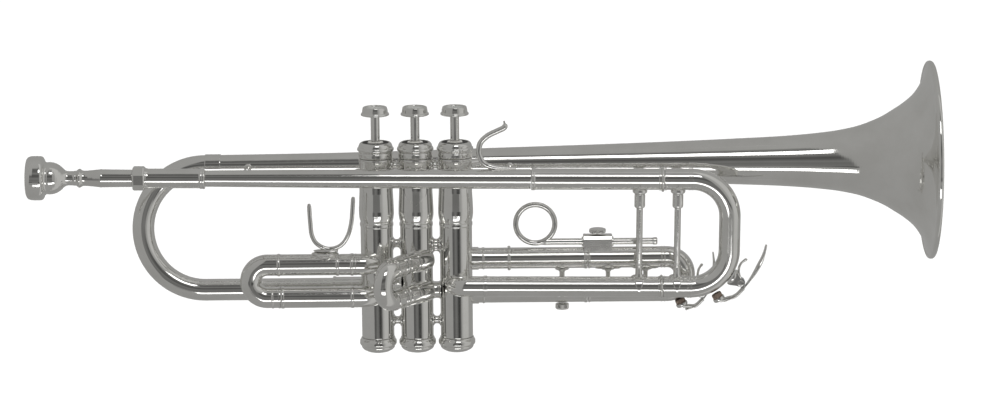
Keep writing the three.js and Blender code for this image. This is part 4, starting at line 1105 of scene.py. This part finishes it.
def build_ring_and_clamp():
    post = third_brace(THIRD_BRACE_X, 1.6, 4.4)
    piece("third_outer_post", post, ["third_slide_outer_brace"])
    half = CLAMP_DEPTH / 2
    corners = [
        (half, CLAMP_LOW + 0.4), (half, CLAMP_HIGH - 2.2), (half - 0.9, CLAMP_HIGH - 0.5),
        (half - 2, CLAMP_HIGH), (2 - half, CLAMP_HIGH), (0.9 - half, CLAMP_HIGH - 0.5),
        (-half, CLAMP_HIGH - 2.2), (0.6 - half, CLAMP_LOW + 0.4),
    ]
    reach = SLIDE_RADIUS + 0.15
    saddle = arc((0, THIRD_TOP_Z, 0), (0, reach, 0), (reach, 0, 0), -38, 38, 8)
    outline = corners + [(point.x, point.y) for point in saddle]
    rings = []
    for x, shrink in (
        (CLAMP_LEFT, 0.35), (CLAMP_LEFT + 0.4, 0), (CLAMP_RIGHT - 0.4, 0), (CLAMP_RIGHT, 0.35),
    ):
        ring = []
        for y, z in outline:
            middle = (CLAMP_HIGH + CLAMP_LOW) / 2
            factor = 1 - shrink / half
            ring.append(Vector((x, THIRD_Y + y * factor, middle + (z - middle) * factor)))
        rings.append(ring)
    block = Shape().shell(rings)
    for x in (CLAMP_LEFT - 0.8, CLAMP_RIGHT - 0.2):
        block.join(pipe((x, THIRD_Y, ROD_Z), (x + 1, THIRD_Y, ROD_Z), 3, 1.9, 32, 0.2))
    piece("clamp_block", block, ["ring_clamp"], "third_slide_set", crease=25)

    screw = turned(above(
        CLAMP_HIGH, (0, 0.05), (1.5, 0.05), (1.5, 0.9), (3, 1), (5, 1.3), (5.2, 1.8), (5.2, 3),
        (4.9, 3.5), (3.6, 3.9), (2, 4), (0, 4),
    ), Z_AXIS, on_third(CLAMP_SCREW_X, 0), 144, 0.15, ribs=(36, 0.22, 5.1))
    piece("clamp_screw", screw, ["ring_clamp_screw"], "clamp_screw_set")

    loop = arc(on_third(RING_X, RING_Z), (RING_RADIUS, 0, 0), (0, 0, RING_RADIUS), -62, 298, 72)
    ring = Shape().shell(closed_rings(loop[:-1], RING_WIRE, 24), True)
    path = smooth([
        on_third(RING_X - 1, RING_Z - RING_RADIUS - 0.1), on_third(RING_X + 4.5, ROD_Z - 0.2),
        on_third(RING_X + 9, ROD_Z), on_third(100, ROD_Z), on_third(ROD_END, ROD_Z),
    ], 8)
    count = len(path)
    radii = [2 * (0.5 + 0.5 * min(1, i / 12)) for i in range(count)]
    rod = sweep(path, radii, sides=28, across=Y_AXIS)
    stop = turned([
        [0, 0], [2, 0], [2.3, 0.3], [2.3, 2.3], [1.9, 2.9], [0, 3],
    ], X_AXIS, on_third(ROD_END + 0.1, ROD_Z), 36, 0.3)
    piece("finger_ring", ring.join(rod, stop), ["third_slide_finger_ring"], "finger_ring_set")

    top = THIRD_BOTTOM_Z - SLIDE_RADIUS - GAP
    lyre = turned(above(
        top, (0, 0), (2.2, 0), (2.2, -0.3), (3.4, -0.5), (4.2, -0.9), (4.2, -3.6), (3.7, -4.1),
        (2, -4.2), (0, -4.2),
    ), Z_AXIS, on_third(THIRD_BRACE_X, 0), 112, 0.2, ribs=(28, 0.25, 4.1))
    piece("lyre_thumbscrew", lyre, ["lyre_screw"], "lyre_screw_set")


def closed_rings(path, radius, sides):
    """Rings round a closed flat loop that lies across Y."""
    count = len(path)
    rings = []
    for i, point in enumerate(path):
        tangent = (path[(i + 1) % count] - path[i - 1]).normalized()
        up = tangent.cross(Y_AXIS)
        ring = []
        for j in range(sides):
            angle = 2 * math.pi * j / sides
            ring.append(point + Y_AXIS * (radius * math.cos(angle)) + up * (radius * math.sin(angle)))
        rings.append(ring)
    return rings


# ---- water keys -------------------------------------------------------------------------------
PIN_RADIUS = 0.9
EAR_OFFSET = 3.6
EAR_THICKNESS = 1.3
KEY_SPRING_RADIUS = 2.6
MAIN_KEY = {
    "name": "main_water_key",
    "body": "main_slide_set",
    "y": LEAD_Y + MAIN_SHIFT_Y,
    "centre": (169.3, -49.2),
    "bend": MAIN_BEND_RADIUS,
    "pivot": (199.1, -68.7),
    "blade": (
        (215.1, -45.6), (213.1, -53), (210.3, -59), (205.9, -66.4),
        (201.2, -72.6), (196, -77.6), (189.1, -80.6),
    ),
    "cork": (184.7, -76.6),
    "hook": ((198.8, -65.5), (198.2, -62), (198.6, -59), (200.2, -56.4), (203.3, -54.3)),
}
THIRD_KEY = {
    "name": "third_water_key",
    "body": "third_slide_set",
    "y": THIRD_Y,
    "centre": (THIRD_CROOK_X, (THIRD_TOP_Z + THIRD_BOTTOM_Z) / 2),
    "bend": (THIRD_TOP_Z - THIRD_BOTTOM_Z) / 2,
    "pivot": (176.5, -79.5),
    "blade": (
        (183.5, -54), (184.2, -62), (183.4, -70), (181.2, -77),
        (177.4, -83.4), (172.4, -87.8), (166.4, -90),
    ),
    "cork": (163.6, -85.2),
    "hook": ((173.9, -71.5), (174.1, -67.4), (175, -63.9), (177, -61.2)),
}


def build_water_key(key):
    """A saddle with its pin and a bent wire, a curved lever with its cup, a coil spring and a cork."""
    def at(pair):
        return Vector((pair[0], key["y"], pair[1]))

    name = key["name"]
    centre, pivot = at(key["centre"]), at(key["pivot"])
    pressed = (at(key["cork"]) - centre).normalized()
    outward = (pivot - centre).normalized()
    side = outward.cross(Y_AXIS)
    surface = key["bend"] + SLIDE_RADIUS

    saddle = Shape()
    seat = centre + outward * (surface + 0.2)
    for sign in (-1, 1):
        corners = [
            seat + side * 4.6,
            pivot + side * 2.2,
            pivot + side * 1.5 + outward * 1.4,
            pivot + outward * 2.1,
            pivot - side * 1.5 + outward * 1.4,
            pivot - side * 2.2,
            seat - side * 4.6,
            seat - side * 2.4 - outward * 0.5,
            seat + side * 2.4 - outward * 0.5,
        ]
        outline = [(corner.x, corner.z) for corner in corners]
        saddle.join(plate(outline, key["y"] + sign * EAR_OFFSET, EAR_THICKNESS))
    base = turned([
        [0, -0.9], [5.3, -0.9], [5.2, 0.3], [4.4, 0.9], [0, 1],
    ], outward, seat, 36, 0.3)
    saddle.join(base)
    hook = smooth([at(pair) for pair in key["hook"]], 6)
    radii = [0.95] + [0.75] * (len(hook) - 5) + [0.8, 0.95, 0.9, 0.5]
    saddle.join(sweep(hook, radii, sides=16, across=Y_AXIS))
    across = pivot - Y_AXIS * 5.4
    pin = turned([
        [0, 0], [1.7, 0.1], [1.8, 0.6], [1.7, 1.1], [PIN_RADIUS, 1.2], [PIN_RADIUS, 9.7],
        [1.5, 9.8], [1.5, 10.6], [1.2, 10.8], [0, 10.8],
    ], Y_AXIS, across, 28, 0.15)
    saddle.join(pin)
    piece(f"{name}_mount", saddle, [f"{name}_saddle"], key["body"], crease=25)

    blade_path = smooth([at(pair) for pair in key["blade"]], 8)
    count = len(blade_path)
    widths, thicks = [], []
    for i in range(count):
        share = i / (count - 1)
        widths.append(2.7 + 0.9 * max(0, 1 - share / 0.28) ** 0.6 if i else 1.6)
        thicks.append(0.5 + 0.75 * math.sin(math.pi * min(1, share / 0.62)) ** 2)
    lever = sweep(blade_path, widths, thicks, sides=28, across=Y_AXIS, square=3)
    cup_low = centre + pressed * (surface + 3.1)
    cup_high = centre + pressed * (surface + 5.6)
    root, tail = at(key["blade"][4]), at(key["blade"][5])
    arm = smooth([root, tail, (tail + cup_high) / 2, cup_high], 5)
    lever.join(sweep(arm, 2.1, 1.1, sides=24, across=Y_AXIS, square=3))
    cup = turned([
        [0, 0], [3.7, 0], [3.7, 1.6], [3.2, 2.3], [1.6, 2.7], [0, 2.8],
    ], pressed, cup_low, 40, 0.35)
    barrel = pipe(pivot - Y_AXIS * 2.6, pivot + Y_AXIS * 2.6, 2.1, PIN_RADIUS + 0.12, 32, 0.2)
    web = plate(strip([(pivot.x, pivot.z), key["blade"][4]], 2.2), key["y"], 3.2)
    lever.join(cup, barrel, web)
    piece(f"{name}_arm", lever, [f"{name}_lever"], f"{name}_set", crease=30)

    reach = Y_AXIS * 2.3
    path = helix(pivot - reach, pivot + reach, outward, side, KEY_SPRING_RADIUS, 5, 18)
    coil = sweep(path, 0.38, sides=8)
    piece(f"{name}_spring", coil, body=f"{name}_set", material=STEEL)

    cork_low = centre + pressed * (surface + GAP)
    cork = turned([
        [0, 0], [2.9, 0], [3.15, 0.5], [3.15, 2.9], [0, 2.9],
    ], pressed, cork_low, 40, 0.3)
    piece(f"{name}_pad", cork, [f"{name}_cork"], f"{name}_set", CORK)


def strip(path, thickness):
    """The outline of a straight or bent strip of even thickness, as [x, z] pairs."""
    sides = ([], [])
    for i, pair in enumerate(path):
        before, after = Vector(path[max(i - 1, 0)]), Vector(path[min(i + 1, len(path) - 1)])
        along = (after - before).normalized() * (thickness / 2)
        sides[0].append((pair[0] - along.y, pair[1] + along.x))
        sides[1].append((pair[0] + along.y, pair[1] - along.x))
    return sides[0] + sides[1][::-1]


# ---- hooks and braces -------------------------------------------------------------------------
def build_pinky_hook():
    """The hook for the right little finger, tapered to a point and flattened on the leadpipe."""
    wire = [(54.7, 34.1), (55, 30.4), (50.6, 28), (44.6, 25), (40.6, 21.2), (39.2, 17.2), (39.8, 12.2)]
    wire += [(42.4, 7.8), (47, 5.8), (54, 5), (62, 4.6)]
    path = smooth([(x, LEAD_Y, z) for x, z in wire], 8)
    count = len(path)
    radii, thicks = [], []
    for i in range(count):
        share = i / (count - 1)
        tip = 0.32 if share < 0.045 else min(1, 0.5 + (share - 0.045) / 0.05)
        foot = max(0, (share - 0.78) / 0.22)
        radii.append(1.85 * tip * (1 + 0.9 * foot * (1 - foot)) * (1 - 0.45 * foot))
        thicks.append(1.75 * tip * (1 - 0.6 * foot))
    hook = sweep(path, radii, thicks, sides=24, across=Y_AXIS)
    piece("little_finger_hook", hook, ["pinky_hook"])


def rod_brace(start, end, radius, flange):
    """A turned brace with a stepped flange at each end and a bead in the middle."""
    start, end = Vector(start), Vector(end)
    length = (end - start).length
    middle = length / 2
    half = [
        [0, 0], [flange, 0], [flange, 0.9], [flange - 0.7, 1.5], [radius + 0.5, 2.2],
        [radius, 3.4], [radius, middle - 1.2], [radius + 0.7, middle - 0.9],
        [radius + 0.9, middle],
    ]
    return turned(mirrored(half, length), end - start, start, 40, 0.3)


def build_braces():
    for name, x, lead_radius, bell_radius in (("rear", -104, 5.3, 7.05), ("front", 58, 6.15, 10)):
        lead_z = LEAD_Z - x * math.tan(LEAD_SLOPE)
        start = (x, LEAD_Y + lead_radius - 0.5, lead_z)
        end = (x, BELL_Y - bell_radius + 0.5, 0)
        piece(f"brace_{name}", rod_brace(start, end, 1.5, 2.4), [f"bell_lead_brace_{name}"])
    away = Vector((0.8, 0.6, 0))
    start = Vector((VALVE_PITCH, 0, 3.2)) + away * (CASING_UPPER_RADIUS - 0.5)
    link = bar(start, (41.2, 13.75, 3.2), 2.3)
    piece("bell_valve_link", link, ["bell_valve_brace"])
    build_lead_valve_brace()


def build_lead_valve_brace():
    """The short block between the leadpipe and the second valve, with its pointed leaf."""
    block = bar((0, LEAD_Y + 5.4, LEAD_Z), (0, -CASING_UPPER_RADIUS + 0.4, -1.8), 3.5, fillet=0.5)

    def at(s, t, height):
        radius = casing_surface(s) + height
        return Vector((radius * math.sin(t / radius), -radius * math.cos(t / radius), s))

    top, tip = 3.5, -19.5
    widths = []
    for i in range(21):
        share = i / 20
        half = 8.4 * math.sin(math.pi / 2 * min(1, share * 6 + 0.35)) * (1 - share ** 6)
        widths.append((top + (tip - top) * share, max(half, 0.2)))
    leaf = patch(at, widths, 0.45, 16)
    piece("lead_valve_block", block.join(leaf), ["lead_valve_brace"])


# ---- stage, light and camera, in metres -------------------------------------------------------
GROUND_WIDTH = 18
GROUND_HEIGHT = -0.42


def build_stage():
    """A pale seamless ground well below the instrument."""
    half, steps = GROUND_WIDTH / 2, 12
    grid = [-half + 2 * half * i / steps for i in range(steps + 1)]
    points = [(x, y, GROUND_HEIGHT) for y in grid for x in grid]
    faces = []
    for row in range(steps):
        for column in range(steps):
            a = row * (steps + 1) + column
            faces.append((a, a + 1, a + steps + 2, a + steps + 1))
    mesh = bpy.data.meshes.new("ground")
    mesh.from_pydata(points, [], faces)
    material, nodes, shader, place = new_material("pale_ground")
    cloud = nodes.noise(place, 1.5, 3.0)
    colors = ((0.3, (0.93, 0.93, 0.93)), (0.7, (0.95, 0.95, 0.95)))
    nodes.link(nodes.ramp(cloud, *colors), shader["Base Color"])
    shader["Roughness"].default_value = 0.9
    shader["Specular IOR Level"].default_value = 0.0
    mesh.materials.append(material)
    ground = bpy.data.objects.new("ground", mesh)
    bpy.context.scene.collection.objects.link(ground)
    ground.visible_glossy = False


ROOM_GREY = 0.335
# The front opening and the bands in it, in degrees of azimuth or of elevation.
OPENING_LEFT = -19.5
OPENING_LEAN = 0.14  # degrees that its left edge moves for each degree of elevation
OPENING_RIGHT = 26
OPENING_HEIGHT = (-24, 68)
EYE_LEVEL_HEIGHT = (-14.8, -10.3)
EYE_LEVEL_TURN = (-24, 34)
BRIGHT_WALL_TURN = (44, 95)
BRIGHT_WALL_GREY = 0.5
# Grey of the front opening by elevation and, close to eye level, by azimuth, both in degrees.
OPENING_BY_HEIGHT = (
    (-24, 0.2), (-21, 0.24), (-17, 0.32), (-11, 0.2), (-6, 0.16), (2, 0.15), (8, 0.19), (16, 0.11),
    (23, 0.08), (30, 0.15), (35, 0.2), (42, 0.12), (56, 0.1), (63, 0.2), (69, 0.27),
)
OPENING_BY_TURN = (
    (-42, 0.06), (-35, 0.11), (-27, 0.09), (-19, 0.09), (-11, 0.12), (-4, 0.17), (4, 0.16),
    (11, 0.09), (18, 0.03), (26, 0.07), (33, 0.15),
)


def build_room():
    """A grey tent with a wide dark opening at the front, where the camera stands."""
    world = bpy.data.worlds.new("tent")
    bpy.context.scene.world = world
    world.use_nodes = True
    nodes = Nodes(world.node_tree)
    way = nodes.add("ShaderNodeTexCoord").outputs["Generated"]
    parts = nodes.add("ShaderNodeSeparateXYZ")
    nodes.link(way, parts.inputs[0])
    x, y, z = parts.outputs
    to_degrees = 180 / math.pi
    height = nodes.math("MULTIPLY", nodes.math("ARCSINE", z), to_degrees)
    turn = nodes.math("MULTIPLY", nodes.math("ARCTAN2", x, nodes.math("MULTIPLY", y, -1.0)), to_degrees)

    def within(value, limits, edge):
        low, high = limits
        rise = nodes.between(value, low - edge, low + edge, 0, 1, True)
        fall = nodes.between(value, high - edge, high + edge, 1, 0, True)
        return nodes.math("MULTIPLY", rise, fall)

    def by_angle(value, table):
        low, high = table[0][0], table[-1][0]
        stops = [((angle - low) / (high - low), (grey, grey, grey)) for angle, grey in table]
        return nodes.ramp(nodes.between(value, low, high), *stops)

    def mix(factor, first, second):
        node = nodes.add("ShaderNodeMix", data_type="FLOAT")
        for socket, term in (("Factor", factor), ("A", first), ("B", second)):
            nodes.link(term, node.inputs[socket])
        return node.outputs["Result"]

    leaning = nodes.math("SUBTRACT", turn, nodes.math("MULTIPLY", height, OPENING_LEAN))
    left, right = within(leaning, (OPENING_LEFT, 60), 1.2), within(turn, (-60, OPENING_RIGHT), 1.5)
    opening = nodes.math("MULTIPLY", left, right)
    opening = nodes.math("MULTIPLY", opening, within(height, OPENING_HEIGHT, 1.5))
    low, ahead = within(height, EYE_LEVEL_HEIGHT, 0.4), within(turn, EYE_LEVEL_TURN, 1.2)
    eye_level = nodes.math("MULTIPLY", low, ahead)
    wall = nodes.between(within(turn, BRIGHT_WALL_TURN, 10), 0, 1, ROOM_GREY, BRIGHT_WALL_GREY)
    wall = nodes.math("MULTIPLY", wall, nodes.between(height, -90, 90, 0.94, 1.08))
    light = mix(opening, wall, by_angle(height, OPENING_BY_HEIGHT))
    light = mix(eye_level, light, by_angle(turn, OPENING_BY_TURN))
    background = nodes.add("ShaderNodeBackground")
    nodes.link(light, background.inputs["Strength"])
    background.inputs["Color"].default_value = (1.0, 0.995, 0.975, 1)
    output = nodes.add("ShaderNodeOutputWorld")
    nodes.link(background.outputs[0], output.inputs["Surface"])


STRIP_DISTANCE = 1.6  # metres in front of the instrument
STRIP_RADIANCE = 2.6


def build_strip(name, left, right, elevation, spread):
    """A long strip light across the front, from left to right in metres along X."""
    angle = math.radians(elevation)
    reach = STRIP_DISTANCE / math.cos(angle)
    tall = 2 * reach * math.tan(math.radians(spread / 2))
    data = bpy.data.lights.new(name, "AREA")
    data.shape = "RECTANGLE"
    data.size = right - left
    data.size_y = tall
    data.energy = STRIP_RADIANCE * math.pi * data.size * tall
    lamp = bpy.data.objects.new(name, data)
    place = Vector((0, -STRIP_DISTANCE, STRIP_DISTANCE * math.tan(angle)))
    lamp.rotation_mode = "QUATERNION"
    lamp.rotation_quaternion = (-place).to_track_quat("-Z", "Y")
    place.x = (left + right) / 2
    lamp.location = place
    lamp.visible_camera = False
    bpy.context.scene.collection.objects.link(lamp)


def build_lights():
    """A wide soft light from above for the ground, and two strips that line the metal."""
    build_strip("upper_strip", -0.1, 0.85, 47.5, 14)
    build_strip("lower_strip", -0.42, 0.85, -29.5, 10.8)
    data = bpy.data.lights.new("overhead", "SUN")
    data.energy = 2.5
    data.angle = math.radians(75)
    lamp = bpy.data.objects.new("overhead", data)
    lamp.rotation_euler = (math.radians(12), math.radians(8), 0)
    lamp.visible_glossy = False
    bpy.context.scene.collection.objects.link(lamp)


CAMERA_TARGET = Vector((51.8, 0, -22.9)) * MM
CAMERA_DISTANCE = 2.25
CAMERA_ELEVATION = math.radians(11.3)
CAMERA_ROLL = math.radians(-0.5)
CAMERA_LENS = 131.4


def build_camera():
    data = bpy.data.cameras.new("camera")
    data.lens = CAMERA_LENS
    data.sensor_width = 36
    camera = bpy.data.objects.new("camera", data)
    back = Vector((0, -math.cos(CAMERA_ELEVATION), math.sin(CAMERA_ELEVATION)))
    camera.location = CAMERA_TARGET + back * CAMERA_DISTANCE
    camera.rotation_mode = "QUATERNION"
    look = (-back).to_track_quat("-Z", "Y")
    camera.rotation_quaternion = look @ Quaternion(Z_AXIS, CAMERA_ROLL)
    bpy.context.scene.collection.objects.link(camera)
    bpy.context.scene.camera = camera


def build_trumpet():
    build_valves()
    build_bell()
    build_bell_bow()
    build_leadpipe()
    build_receiver()
    build_mouthpiece()
    build_main_outer()
    build_main_slide()
    build_main_braces()
    build_first_outer()
    build_first_slide()
    build_thumb_hook()
    build_second_slide()
    build_third_outer()
    build_third_slide()
    build_ring_and_clamp()
    build_water_key(MAIN_KEY)
    build_water_key(THIRD_KEY)
    build_pinky_hook()
    build_braces()


build_trumpet()
build_stage()
build_room()
build_lights()
build_camera()
bpy.context.scene.view_settings.view_transform = "Standard"
